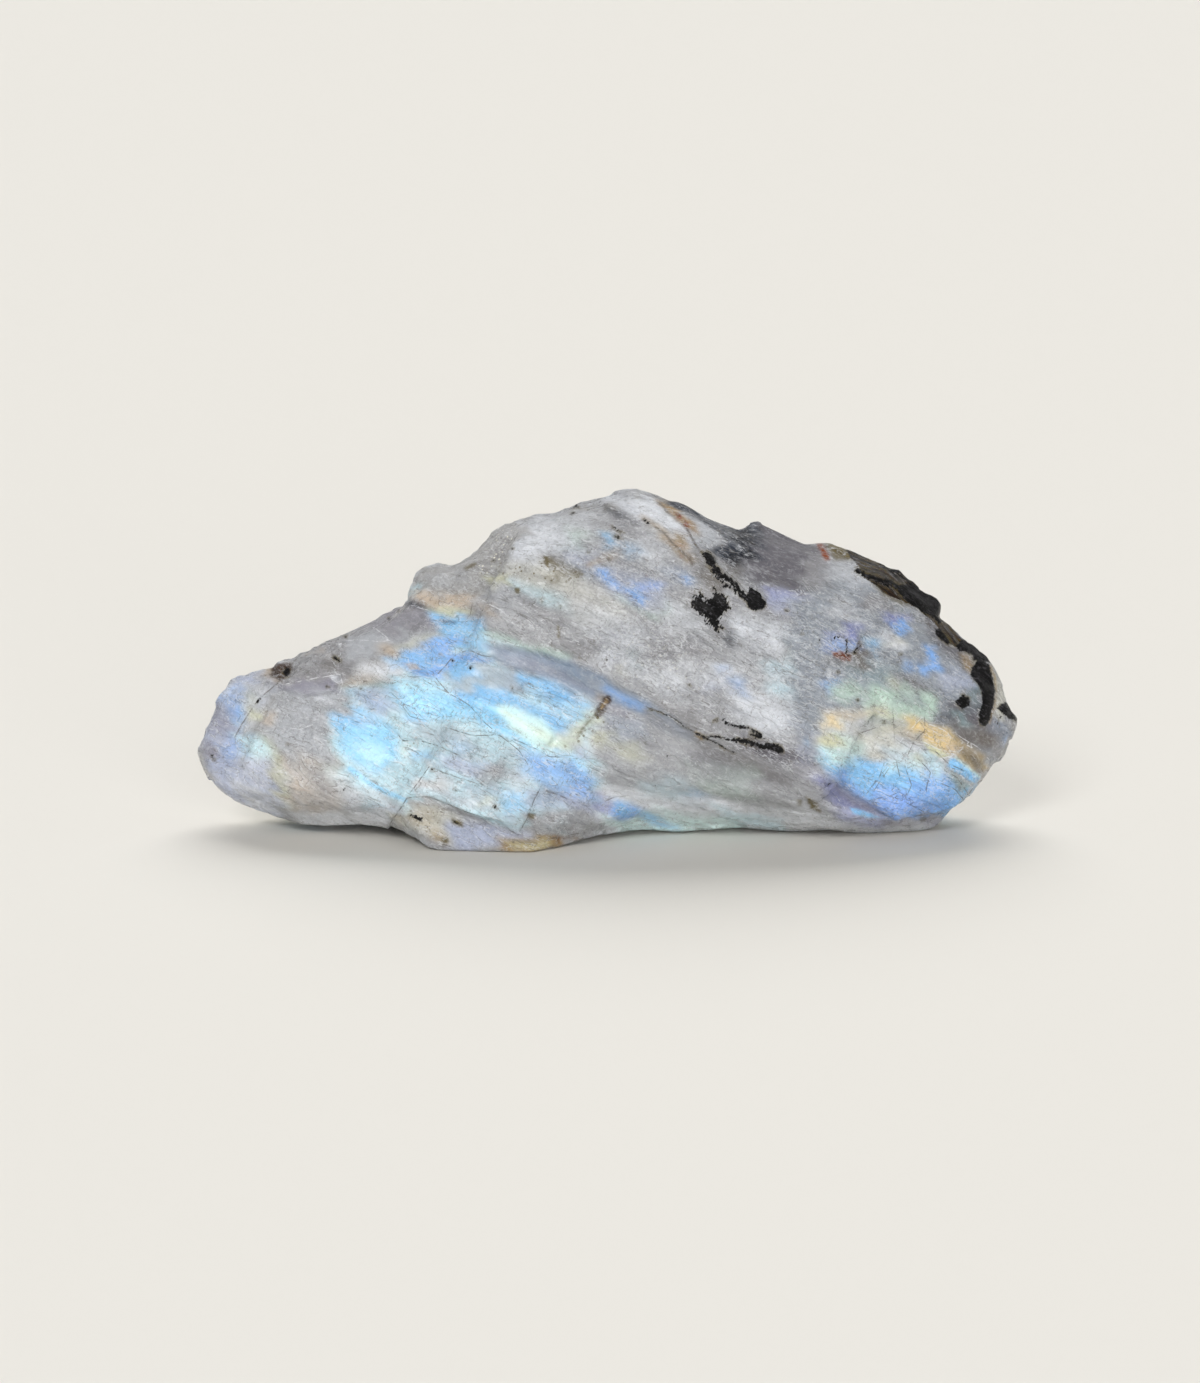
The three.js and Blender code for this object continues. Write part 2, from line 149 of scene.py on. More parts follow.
def add_floor():
    """A floor so wide that it fills the picture."""
    bpy.ops.mesh.primitive_circle_add(vertices=96, radius=STUDIO_RADIUS, fill_type="NGON")
    floor = bpy.context.object
    floor.name = "floor"
    material, shader = plain_material("floor")
    shader.inputs["Base Color"].default_value = (*(linear(CREAM) / FLOOR_LIGHT), 1)
    shader.inputs["Roughness"].default_value = 1.0
    shader.inputs["Specular IOR Level"].default_value = 0.0
    floor.data.materials.append(material)


def add_backdrop():
    """A pale shell behind the floor's rim that only the camera sees."""
    radius = STUDIO_RADIUS + BACKDROP_GAP
    bpy.ops.mesh.primitive_uv_sphere_add(segments=48, ring_count=24, radius=radius)
    shell = bpy.context.object
    shell.name = "backdrop"
    material, shader = plain_material("backdrop")
    shader.inputs["Base Color"].default_value = (0, 0, 0, 1)
    shader.inputs["Specular IOR Level"].default_value = 0.0
    shader.inputs["Emission Color"].default_value = (*linear(CREAM), 1)
    shader.inputs["Emission Strength"].default_value = 1.0
    shell.data.materials.append(material)
    for ray in ("diffuse", "glossy", "transmission", "shadow"):
        setattr(shell, "visible_" + ray, False)


add_camera()
add_world()
for settings in LIGHTS:
    add_light(*settings)
add_floor()
add_backdrop()


# ---------------------------------------------------------------- noise and cells

HASH_FACTORS = [np.uint32(n) for n in (374761393, 668265263, 1442695041, 1274126177, 2246822519)]
CHANNEL_FACTOR, CHANNEL_START = 974711, 97
OCTAVE_GAIN, OCTAVE_TOTAL = 0.5, 1.6
SLAB_TILT = 1.6
FAR = 9.0  # mm or cells, further off than anything that counts
CLEAVAGE_SLOPE = math.radians(-26)  # the cleavage runs down to the right across the front


def hashed(cell, channel):
    """A number from 0 to 1 that is fixed for each whole-number cell and channel."""
    i, j, k = (np.asarray(v).astype(np.int64).astype(np.uint32) for v in cell)
    a, b, c, d, e = HASH_FACTORS
    with np.errstate(over="ignore"):
        h = i * a ^ j * b ^ k * c
        h = (h ^ np.uint32(channel * CHANNEL_FACTOR + CHANNEL_START) ^ (h >> np.uint32(13))) * d
        h = (h ^ (h >> np.uint32(15))) * e
        h = h ^ (h >> np.uint32(16))
    return h.astype(float) / 2**32


def noise(points, size, channel):
    """Smooth noise from -1 to 1 whose bumps are about size wide."""
    q = points / np.asarray(size, float)
    base = np.floor(q)
    t = smoothstep(0, 1, q - base)
    total = np.zeros(len(points))
    for corner in np.ndindex(2, 2, 2):
        step = np.array(corner[::-1])
        weight = np.prod(np.where(step, t, 1 - t), axis=1)
        total += weight * hashed((base + step).T, channel)
    return 2 * total - 1


def rough_noise(points, size, channel, octaves=3):
    total, gain = 0.0, 1.0
    for octave in range(octaves):
        total = total + gain * noise(points, np.asarray(size, float) / 2**octave, channel + octave)
        gain *= OCTAVE_GAIN
    return total / OCTAVE_TOTAL


def along_cleavage(bed):
    """The same points with their axes along, back and across the cleavage."""
    c, s = math.cos(CLEAVAGE_SLOPE), math.sin(CLEAVAGE_SLOPE)
    x, back, up = bed.T
    return np.stack([x * c + up * s, back, up * c - x * s], axis=1)


def slabs(points, size, channel):
    """A mosaic of tilted flat cells: each point's height, about -1 to 1."""
    q = points / np.asarray(size, float)
    home = np.floor(q)
    nearest = np.full(len(points), FAR)
    height = np.zeros(len(points))
    for step in np.ndindex(3, 3, 3):
        cell = home + np.array(step) - 1
        rolls = [hashed(cell.T, channel + n) for n in range(6)]
        offset = q - (cell + np.stack(rolls[:3], axis=1))
        distance = np.linalg.norm(offset, axis=1)
        tilt = offset[:, 0] * (rolls[3] - 0.5) + offset[:, 2] * (rolls[4] - 0.5)
        nearer = distance < nearest
        height = np.where(nearer, 2 * rolls[5] - 1 + SLAB_TILT * tilt, height)
        nearest = np.where(nearer, distance, nearest)
    return height


# ---------------------------------------------------------------- shapes seen from the front

NUDGE = 1e-6  # of a pixel, where nothing would be divided by


def pixels(text):
    """The pixels in text, as rows."""
    return np.array([[float(n) for n in pair.split(",")] for pair in text.split()])


def shape(path, width=None):
    """A stroke along a path, width mm wide, or without a width the area inside the path."""
    if width is None:
        return {"path": np.vstack([path, path[:1]]), "half": 0.0, "closed": True}
    return {"path": path, "half": width / 2, "closed": False}


def table(text):
    """The rows of a table, each as its first words and the path through its pixels."""
    for row in text.strip().split("\n"):
        words = row.split()
        count = sum("," not in word for word in words)
        yield words[:count], pixels(" ".join(words[count:]))


def shapes(text, columns):
    """The rows of a table, each as so many numbers and a shape. A number more is the width of its stroke."""
    for words, path in table(text):
        numbers = [float(word) for word in words]
        yield *numbers[:columns], shape(path, *numbers[columns:])


def nearest_on(path, seen):
    """Each seen pixel's distance in mm from a path, its side of it, and how far past its ends it is."""
    nearest = np.full(len(seen), np.inf)
    side = np.ones(len(seen))
    beyond = np.zeros(len(seen))
    last = len(path) - 2
    for index, (a, b) in enumerate(zip(path[:-1], path[1:])):
        run = b - a + NUDGE
        share = (seen - a) @ run / (run @ run)
        off = seen - a - np.clip(share, 0, 1)[:, None] * run
        distance = np.hypot(off[:, 0], off[:, 1])
        before = -share if index == 0 else np.zeros(len(seen))
        after = share - 1 if index == last else np.zeros(len(seen))
        nearer = distance < nearest
        nearest = np.where(nearer, distance, nearest)
        side = np.where(nearer, np.sign(run[0] * off[:, 1] - run[1] * off[:, 0]), side)
        beyond = np.where(nearer, np.maximum(before, after).clip(0) * np.hypot(*run), beyond)
    return nearest * PIXEL, side, beyond * PIXEL


def within(outline, seen):
    """Whether each seen pixel lies inside a closed outline."""
    inside = np.zeros(len(seen), bool)
    u, v = seen.T
    for a, b in zip(outline[:-1], outline[1:]):
        crosses = (a[1] > v) != (b[1] > v)
        rise = (b[1] - a[1]) or NUDGE
        inside ^= crosses & (u < a[0] + (v - a[1]) * (b[0] - a[0]) / rise)
    return inside


def outside_by(form, seen):
    """How far outside a shape each seen pixel lies, in mm, and less than 0 inside it."""
    distance = nearest_on(form["path"], seen)[0]
    if form["closed"]:
        return np.where(within(form["path"], seen), -distance, distance)
    return distance - form["half"]


def cover(form, soft, seen):
    """1 inside a shape and 0 outside it, with an edge 2 * soft mm wide."""
    return smoothstep(soft, -soft, outside_by(form, seen))


# ---------------------------------------------------------------- what the stone shows

# The blue, cyan and gold flash is a sheen that the feldspar reflects; these tints paint it into the stone's
# colour.
TINTS = {
    "cyan": (170, 228, 262), "ice": (202, 230, 240), "sky": (150, 206, 250), "azure": (138, 182, 240),
    "periwinkle": (154, 188, 252), "violet": (142, 148, 198), "lavender": (178, 186, 208),
    "mint": (190, 213, 200), "teal": (136, 163, 166), "glow": (230, 258, 255), "butter": (216, 216, 180),
    "gold": (234, 208, 154), "peach": (202, 186, 168), "cloud": (204, 207, 213), "frost": (184, 187, 192),
    "mauve": (150, 148, 160), "stone": (148, 147, 149), "umber": (112, 106, 99), "smoke": (108, 106, 112),
    "dusk": (152, 164, 182), "slate": (48, 54, 66), "ink": (10, 9, 9), "rust": (132, 66, 32),
    "ochre": (168, 142, 98), "olive": (104, 92, 54), "brown": (62, 42, 27), "cream": (212, 211, 200),
    "haze": (167, 168, 171), "mist": (154, 160, 168), "pearl": (222, 225, 230), "grey": (170, 169, 168),
    "fog": (184, 198, 208), "white": (236, 238, 242), "spark": (240, 238, 224),
}


def paints(text):
    """Paints, where later ones lie on top.

    Each row is a tint, its strength, half the width of its edge in mm, the width in mm if it is a stroke and
    not a patch, and its pixels."""
    made = []
    for (tint, *words), path in table(text):
        strength, soft, *width = (float(word) for word in words)
        made.append((tint, strength, soft, shape(path, *width)))
    return made


def areas(text):
    """Each row is a strength, half the width of its edge, the width if it is a stroke, and its pixels."""
    return list(shapes(text, 2))


def minerals(text):
    """Each row is how ragged a piece is, from 0 to 1, its width if it is a stroke, and its pixels."""
    return list(shapes(text, 1))


def lines(text):
    """Each row is one or more numbers and the pixels of a line."""
    return [(*(float(word) for word in words), path) for words, path in table(text)]


UPPER_BLOCK = paints("""
haze 1.5 1.5 404,600 470,560 520,515 620,488 700,515 760,522 830,545 900,570 1000,650 1020,740 985,770 \
    830,745 790,768 700,737 618,684 572,666 500,640 440,612
cloud 1.1 1.0 511,560 518,530 534,518 566,520 574,540 562,556 535,564
pearl 1.0 0.8 522,548 530,526 546,520 553,538 540,555
mint 0.45 0.9 562,522 582,530 586,552 566,550
lavender 0.6 1.0 569,544 596,556 592,568 572,564
sky 0.75 0.5 596,534 608,532 615,545 604,549
cyan 0.4 0.25 597,529 607,530 605,534 598,533
sky 0.35 0.6 622,546 644,545 648,556 628,557
dusk 0.55 0.5 570,566 582,564 604,580 630,602 624,610 600,598 582,584
cream 0.6 0.8 498,563 545,562 588,580 625,606 632,626 600,630 572,616 548,600 505,580
butter 0.7 0.4 494,577 515,577 514,590 496,590
ice 0.6 0.5 515,582 540,586 572,602 566,610 540,602 518,592
stone 0.5 0.8 530,604 556,606 572,622 560,634 534,622
cloud 0.3 0.8 574,606 600,604 630,610 634,628 604,632 580,620
stone 0.5 0.7 480,560 500,566 492,600 476,596
peach 0.8 0.3 476,600 492,602 499,611 494,616 478,610
haze 0.7 0.8 479,616 520,612 551,632 545,641 500,634
lavender 0.7 0.6 598,570 640,572 668,588 668,604 650,616 630,604 612,590
azure 0.95 0.3 600,572 612,574 628,588 622,592 610,584
periwinkle 0.6 0.4 640,580 662,582 664,591 648,592
azure 1.0 0.3 630,590 643,588 650,598 644,604 634,600
frost 0.6 0.4 650,600 664,600 660,610 650,609
mint 0.8 0.25 0.4 627,600 640,612 655,618 668,602
dusk 0.7 0.6 655,566 675,566 694,574 694,582 672,580
azure 0.8 0.25 680,573 688,573 690,582 682,581
stone 0.55 1.2 640,618 690,632 716,656 706,690 664,676 636,650
frost 0.7 0.8 590,632 630,626 640,660 624,680 600,668
cloud 1.0 0.2 590,650 600,645 612,650 613,664 598,668 589,661
cream 0.6 0.3 607,662 620,662 620,674 610,674
teal 0.4 0.6 627,652 640,653 638,667 628,665
cloud 0.5 0.8 640,672 668,674 690,690 680,704 652,696
stone 0.7 0.6 556,636 580,642 592,654 590,668 622,684 590,670 552,650
umber 0.9 0.8 694,553 712,560 730,588 722,600 704,586
stone 0.8 0.8 686,590 712,590 735,604 730,625 712,630 692,614
cloud 0.6 0.4 724,590 740,588 742,600 728,604
cloud 1.1 0.5 722,618 738,614 746,626 736,636 724,630
slate 0.8 0.2 0.5 719,626 726,635 733,643
cloud 0.8 0.8 742,628 770,624 800,632 806,650 776,652 750,648
frost 0.7 0.8 737,650 780,652 812,668 800,690 750,676
violet 0.7 0.8 768,590 798,589 806,600 790,608 770,606
stone 0.7 0.7 762,606 812,606 822,626 790,624 766,618
olive 0.35 0.4 779,646 790,646 806,660 802,670 788,662
azure 0.85 0.25 718,666 728,664 731,672 722,674
azure 0.5 0.5 732,680 750,682 752,697 734,696
lavender 0.8 0.7 697,672 730,674 732,688 704,690
cloud 1.1 1.0 732,698 760,688 792,694 804,715 790,736 762,736 738,726
stone 0.7 0.7 647,700 680,704 732,728 728,738 690,730 655,714
lavender 0.6 0.8 800,650 816,660 822,740 800,748 796,690
sky 0.6 0.2 803,742 809,742 808,748 803,748
pearl 0.6 0.7 644,536 664,540 672,556 660,566 640,556
pearl 0.5 0.6 566,512 586,508 598,518 586,530 568,526
pearl 0.5 0.6 618,634 640,636 642,652 622,654
cream 0.6 0.5 644,514 664,514 672,528 658,534 644,526
pearl 0.5 0.6 772,660 800,656 802,684 776,690
pearl 0.6 0.8 650,606 700,610 700,632 656,630
pearl 0.6 0.7 618,658 700,660 742,664 742,684 690,686 640,684
ice 0.8 0.6 790,634 816,640 820,680 796,686
frost 0.6 0.5 470,586 512,588 512,606 474,606
grey 0.7 0.6 570,586 606,584 618,600 600,608 574,604
olive 0.35 0.4 544,556 562,559 580,570 581,580 560,578 548,568
smoke 1.1 0.7 730,728 768,742 800,752 806,766 770,762 740,750
ice 0.8 0.7 768,662 800,650 816,640 810,616 832,640 826,690 800,700 772,690
haze 0.5 0.7 730,640 760,640 768,660 740,664
pearl 0.5 0.4 727,621 737,620 741,629 734,634 727,631
cloud 0.9 0.7 744,622 772,620 800,630 806,644 776,648 748,644
pearl 0.6 0.4 762,630 784,634 800,640 790,648 768,642
slate 0.45 0.25 718,630 726,634 736,646 728,646
olive 0.45 0.25 786,647 794,650 802,660 812,666 806,672 794,666 788,658
cloud 0.5 0.4 770,662 786,668 800,676 790,686 768,678
lavender 0.6 0.6 766,598 790,596 808,604 800,614 776,614
frost 0.5 0.6 560,600 600,606 640,630 640,640 600,626 560,612
slate 0.7 0.3 736,527 750,528 760,540 753,556 741,566 729,560 736,550 742,540
haze 0.5 0.6 770,574 800,572 806,586 776,588
cloud 0.5 0.5 792,666 816,666 818,686 796,688
pearl 0.5 0.5 584,620 606,620 608,636 586,636
cloud 0.5 0.5 584,652 606,652 608,668 586,668
lavender 0.5 0.5 794,748 812,748 814,764 796,764
pearl 0.7 0.6 526,534 546,526 556,540 546,556 530,556
cloud 0.3 0.6 600,612 640,618 660,640 640,650 610,640
pearl 0.2 0.6 748,700 776,694 796,706 792,728 764,732 748,718
pearl 0.5 0.4 660,596 676,600 690,612 672,616 660,608
haze 0.4 0.5 696,668 718,668 718,684 698,684
stone 0.5 0.4 684,604 700,604 700,620 684,620
smoke 0.4 0.4 732,590 746,596 744,614 734,612
""")
# The cloud and pearl along the crest are partly its own milky colour and partly painted light where it faces
# up; the stone patch under the ridge, from 606,520 to 668,545, is painted shade.
TOP_EDGE = paints("""
cloud 1.1 0.4 590,500 620,486 640,488 664,500 678,514 692,534 698,549 688,549 676,544 660,533 640,522 \
    622,508 604,503
pearl 1.0 0.5 624,491 650,498 670,518 684,542 660,528 636,508
stone 0.7 0.25 616,489 633,490 630,497 618,496
olive 0.4 0.3 632,490 642,494 644,502 634,499
umber 0.8 0.2 0.35 648,494 657,498 668,502 676,504
ochre 0.7 0.4 661,503 673,504 684,514 691,527 694,537 686,531 676,520 667,511
rust 0.45 0.3 671,511 682,511 690,522 691,531 682,527 675,519
rust 1.0 0.12 676,513 682,515 682,520 677,518
rust 1.0 0.12 684,520 689,524 688,530 683,527
brown 0.7 0.12 0.16 660,503 667,511 674,518 684,526 690,536
ochre 0.8 0.35 677,533 688,537 693,547 684,549 676,542
ochre 0.7 0.3 664,504 680,508 694,524 692,532 676,524
rust 0.5 0.2 681,542 686,543 685,548 681,547
brown 0.9 0.1 0.16 687,530 694,542 701,552 705,556
ochre 0.6 0.3 0.6 647,520 663,531 671,540 680,549 690,558
brown 0.7 0.1 0.16 655,527 664,533 674,544 682,551 690,558 693,565
olive 0.5 0.4 598,505 612,504 622,508 618,513 604,511
stone 0.6 0.6 606,520 634,522 650,532 668,545 650,548 620,538
slate 0.85 0.4 597,506 610,507 624,513 630,521 622,522 610,516
ink 0.5 0.25 611,512 620,514 626,520 618,519
olive 0.6 0.2 0.3 582,508 592,510
frost 1.0 0.4 694,526 708,527 716,538 712,548 702,550 695,538
slate 1.3 0.3 675,502 682,501 691,504 704,516 714,522 726,526 724,536 708,527 698,519 686,512 678,509
frost 0.5 0.3 688,511 697,517 698,523 690,520
slate 1.3 0.4 711,551 720,544 726,534 722,526 741,527 747,522 756,521 764,530 762,546 750,556 742,565 \
    734,568 727,562 720,556
ink 1.0 0.2 730,528 741,529 747,523 752,528 748,536 744,544 740,538 743,532 734,531
ink 0.8 0.2 744,543 754,538 756,544 746,553 739,560 731,564 729,559 738,551
frost 1.0 0.2 730,535 736,532 741,537 738,544 732,544
dusk 0.5 0.3 756,526 762,531 763,541 757,543
smoke 1.4 0.7 763,524 786,532 812,545 828,556 838,572 815,588 780,586 750,580 742,570 752,556
stone 0.6 0.8 815,555 838,560 846,580 826,590 812,580
smoke 0.7 0.6 742,540 766,534 782,552 760,568 738,562
slate 0.7 0.4 740,532 764,530 770,548 754,560 738,556
stone 0.5 0.5 596,514 616,514 620,526 600,526
umber 0.5 0.5 722,560 740,562 740,580 724,578
smoke 0.5 0.5 820,560 842,562 842,580 822,578
slate 0.9 0.3 724,524 740,528 752,524 762,532 758,546 748,552 738,550 742,538 730,534
slate 0.9 0.3 734,546 746,548 742,560 732,566 724,558
ink 0.35 0.3 730,536 746,534 757,541 753,554 742,566 730,562 737,550
slate 0.5 0.4 716,526 730,530 748,526 744,536 728,538 716,532
ink 0.45 0.3 726,532 744,528 760,534 757,550 746,562 732,566 728,556 738,546
""")

# The right edge is stained right through the stone, so the front and the back both show it.
RIGHT_EDGE = paints("""
rust 1.1 0.12 817,543 823,544 830,560 825,562 821,553
olive 1.0 0.3 824,541 846,546 858,556 850,560 834,560 829,552
umber 0.8 0.3 846,546 866,556 886,562 900,570 896,580 872,573 856,562
olive 0.7 0.4 872,584 890,590 906,600 915,606 900,606 884,598
cream 0.8 0.12 0.4 918,607 930,615 940,626 949,637 954,645
olive 0.6 0.2 0.5 938,616 946,625 955,636
ochre 0.7 0.3 959,653 968,654 973,664 971,674 963,668
umber 0.8 0.12 0.25 959,653 960,661 963,668
cream 0.9 0.3 990,662 1001,684 1007,702 1004,722 994,716 995,690
ochre 0.7 0.12 0.25 990,666 995,678 996,692 994,708 990,722
""")
STRATA_AREA = shape(pixels("""
846,543 862,551 886,560 902,568 914,580 937,595 944,612 954,626 966,638 958,646 948,642 936,626 929,619
917,608 905,603 897,600 884,593 875,584 866,576 858,566 848,556
"""))
STRATA_LINE = "820,541 843,545 866,556 886,562 900,572 914,585 937,604 950,626 965,642"
# The pearl stroke from 937,761 to 959,751 is a painted highlight.
RIGHT_BLOCK = paints("""
mist 1.3 1.2 800,596 830,572 876,582 912,610 945,648 975,680 1000,740 985,765 950,745 905,715 830,715 \
    806,740 792,700 790,640
stone 0.8 0.7 806,560 832,558 840,575 826,594 806,590
frost 0.7 0.5 829,559 862,560 866,578 832,580
frost 0.9 0.4 826,606 840,600 858,606 860,622 842,620 830,614
stone 0.9 0.4 866,594 888,596 890,612 868,614
violet 1.0 0.3 884,614 904,613 911,620 900,632 889,627
azure 1.1 0.25 890,624 908,621 912,629 903,636 893,633
violet 0.8 0.3 853,624 863,623 864,640 856,641
azure 1.0 0.3 829,641 838,638 848,643 857,642 857,652 845,650 829,650
sky 0.7 0.4 871,643 886,642 888,653 873,655
cream 0.8 0.25 886,634 896,632 903,642 900,651 890,650 885,643
azure 1.0 0.2 926,648 936,645 937,655 927,675 920,672
azure 0.6 0.3 908,662 917,664 914,676 906,672
smoke 0.9 0.5 922,610 940,618 962,650 966,668 950,662 930,640
lavender 0.7 0.5 935,668 944,666 972,674 979,690 962,692 944,690
teal 0.7 0.4 970,681 980,684 980,713 971,708
teal 0.5 0.8 846,660 872,660 905,672 884,684 850,680
azure 0.6 0.3 816,678 834,676 838,686 822,690
mint 0.9 0.5 828,682 850,680 860,690 842,700 828,694
mint 1.2 0.6 860,690 876,686 891,690 893,702 878,709 862,704
butter 0.6 0.4 880,676 893,677 904,690 892,690
stone 0.9 0.5 896,677 916,676 932,690 926,696 906,692
mint 1.2 0.35 920,693 934,692 941,700 938,712 926,712 922,704
slate 0.5 0.3 927,722 934,715 950,712 956,718 942,722 930,726
smoke 1.0 0.5 952,700 972,706 986,700 1000,700 1012,726 1004,744 984,752 976,748 956,738
umber 0.8 0.5 950,719 972,724 998,734 996,752 976,748 956,738
teal 0.6 0.3 957,713 972,712 972,722 960,724
slate 0.5 0.3 966,690 980,684 980,712 968,710
stone 0.7 0.4 995,722 1010,714 1018,738 1006,760 992,756
azure 0.7 0.2 1001,734 1007,734 1007,742 1001,743
umber 0.8 0.3 848,652 868,652 862,660 850,662
rust 1.2 0.1 833,652 840,651 851,655 850,660 843,660 834,656
violet 0.8 0.3 826,634 860,632 862,650 828,650
azure 0.6 0.3 829,640 846,644 858,646 856,653 836,651
umber 0.6 0.3 850,650 866,650 864,660 852,662
pearl 0.8 0.25 872,632 884,630 889,640 878,644
pearl 0.9 0.25 889,640 902,642 907,652 896,653
frost 0.8 0.3 828,600 850,598 862,606 846,620 832,614
cloud 0.6 0.4 846,570 866,572 874,586 852,590
umber 0.4 0.3 842,656 862,656 860,668 844,668
umber 0.45 0.4 826,652 864,648 866,666 828,666
dusk 0.5 0.4 828,638 850,638 850,650 828,650
rust 1.2 0.1 833,651 851,655 850,661 836,657
brown 0.45 0.1 833,651 851,655 850,661 836,657
cream 1.2 0.5 820,710 850,706 886,707 904,714 922,742 905,756 870,758 846,758 822,748
peach 0.7 0.5 824,708 850,707 884,710 880,716 850,716 826,718
butter 0.5 0.5 862,736 880,724 906,730 912,744 880,746
gold 0.7 0.4 823,716 834,712 838,726 826,730
glow 0.4 0.35 836,738 850,738 850,750 838,752
butter 0.9 0.35 823,736 846,737 848,748 834,753 822,748
cloud 1.1 0.2 847,718 862,715 886,716 880,724 868,732 850,734 844,727
cloud 0.9 0.2 829,731 850,728 862,734 850,738 832,736
gold 1.2 0.25 903,714 922,716 928,724 922,734 914,732 904,724
peach 0.8 0.3 894,728 914,732 920,742 904,744
cloud 1.0 0.35 885,745 905,738 920,744 922,756 905,763 886,761
butter 0.6 0.25 906,753 918,752 920,766 908,767
gold 1.1 0.2 925,724 941,724 952,732 968,746 984,761 989,769 978,772 958,757 940,750 926,742
peach 0.8 0.3 944,738 962,744 962,755 946,750
butter 0.9 0.15 923,741 938,748 950,756 944,760 930,752
umber 0.9 0.3 958,746 972,750 988,766 982,772 964,760
azure 1.3 0.4 816,766 845,764 862,766 889,764 916,768 940,770 955,785 962,806 943,815 893,821 871,804 \
    850,791 832,779
cyan 1.3 0.35 815,753 843,752 847,764 836,772 817,766
glow 0.7 0.25 826,754 842,753 843,762 830,763
periwinkle 0.7 0.3 833,766 850,767 854,779 838,779
sky 1.0 0.4 854,763 889,763 892,777 870,777 854,773
cyan 0.6 0.35 884,768 900,769 894,783 884,781
periwinkle 0.6 0.4 891,785 904,783 908,804 896,806
sky 0.9 0.5 936,782 958,790 966,808 940,813 930,800
ice 0.9 0.35 920,748 936,754 946,770 936,782 924,766
sky 1.3 0.15 950,757 962,764 981,777 977,784 962,775 948,767
teal 0.8 0.2 950,771 962,777 974,785 970,799 956,790 946,779
ice 0.7 0.5 890,762 912,762 930,776 920,784 896,776
sky 0.7 0.4 850,760 866,762 866,776 850,776
mint 0.9 0.4 896,686 914,686 916,706 898,706
pearl 0.9 0.4 866,736 896,738 900,752 868,752
cloud 0.9 0.4 868,712 892,714 892,732 868,730
sky 1.1 0.35 840,761 890,762 892,782 860,785 843,777
mauve 0.5 0.6 796,760 822,766 846,800 820,806 796,784
dusk 0.7 0.4 996,712 1012,716 1014,732 1000,744 994,730
ice 1.0 0.4 894,762 916,764 924,780 900,782
ice 0.7 0.4 846,744 866,746 866,760 848,760
cream 0.7 0.4 870,734 900,738 904,752 872,752
mint 0.6 0.4 866,714 892,712 892,728 868,728
mint 0.9 0.35 880,706 906,702 930,703 936,713 916,719 892,716
butter 0.5 0.4 862,707 886,707 900,716 880,724 862,718
cream 0.6 0.5 850,724 880,718 906,724 912,740 880,746 852,742
glow 0.8 0.25 822,752 846,752 846,763 828,765
sky 1.0 0.4 852,764 888,764 918,772 930,790 900,800 868,796 850,780
periwinkle 0.7 0.4 866,782 900,788 930,794 940,808 900,816 876,806
glow 0.5 0.25 884,762 896,762 900,774 890,778
sky 0.9 0.3 938,784 962,790 974,784 982,786 972,800 958,812 938,816
glow 0.5 0.4 840,734 862,738 864,762 846,762
ice 0.7 0.4 812,750 826,750 826,764 814,764
cloud 0.5 0.5 856,716 884,718 884,734 858,734
ice 0.6 0.4 888,748 912,748 914,764 890,764
azure 0.7 0.4 918,780 944,782 960,796 966,806 944,812 924,804
azure 0.9 0.4 914,780 944,784 950,798 940,806 918,800
smoke 0.8 0.3 826,794 846,796 866,806 874,816 846,813 828,805
glow 0.8 0.1 0.2 956,758 968,767 980,777
pearl 0.8 0.1 0.2 937,761 950,758 959,751
violet 0.4 0.4 862,800 880,806 900,818 880,816
mauve 1.2 0.3 886,818 907,818 939,815 964,806 957,820 930,836 890,838 866,830
violet 0.8 0.5 816,778 832,780 850,792 871,805 888,820 870,820 846,812 826,796
smoke 0.8 0.4 838,786 856,796 874,810 884,818 862,812 842,800
violet 1.0 0.6 818,806 850,816 880,822 890,834 850,840 828,826
sky 1.2 0.15 851,809 862,811 880,818 866,818 854,814
olive 0.9 0.12 919,817 926,816 926,821 920,822
""")
# The pearl and glow patches along the bottom, from 592,786 to 950,842, are painted light on the
# downward-facing underside.
LOWER_FACET = paints("""
haze 1.3 0.8 597,702 625,706 660,722 700,742 745,756 790,772 832,800 842,832 780,834 720,832 680,838 \
    640,825 600,805 588,775 600,745
dusk 0.5 0.8 598,715 640,716 652,740 612,746
butter 0.5 0.5 592,733 612,733 618,748 596,748
butter 0.45 0.6 620,747 640,747 655,762 640,767 622,758
frost 0.6 1.0 600,756 650,768 690,784 640,790 606,784
smoke 0.7 0.9 695,740 745,758 790,772 800,786 740,784 700,764
umber 0.4 0.8 700,746 760,762 796,784 760,776 712,758
mint 0.45 1.0 690,766 755,770 760,800 712,800
sky 0.7 0.5 683,794 700,794 722,806 716,813 694,806
smoke 0.6 0.7 688,756 720,760 746,770 740,784 700,780
pearl 1.3 0.8 640,802 680,808 740,816 800,806 840,822 870,826 950,824 930,842 740,842 600,842 600,824
pearl 1.0 0.5 592,786 640,788 700,798 744,806 744,838 640,840 598,826
glow 0.8 0.5 600,812 640,810 700,818 744,820 744,838 620,838
ice 0.7 0.4 716,808 745,816 780,818 778,830 736,826
violet 0.9 0.4 585,800 602,797 616,802 606,812 588,812
azure 1.2 0.35 604,803 622,801 640,808 646,817 628,818 610,814
sky 0.8 0.3 610,802 630,802 634,812 614,812
sky 0.8 0.4 638,811 658,816 678,826 656,826 642,819
haze 0.4 0.6 690,756 730,762 760,780 740,796 700,786
ice 0.4 0.6 640,776 680,778 700,792 680,800 646,796
""")
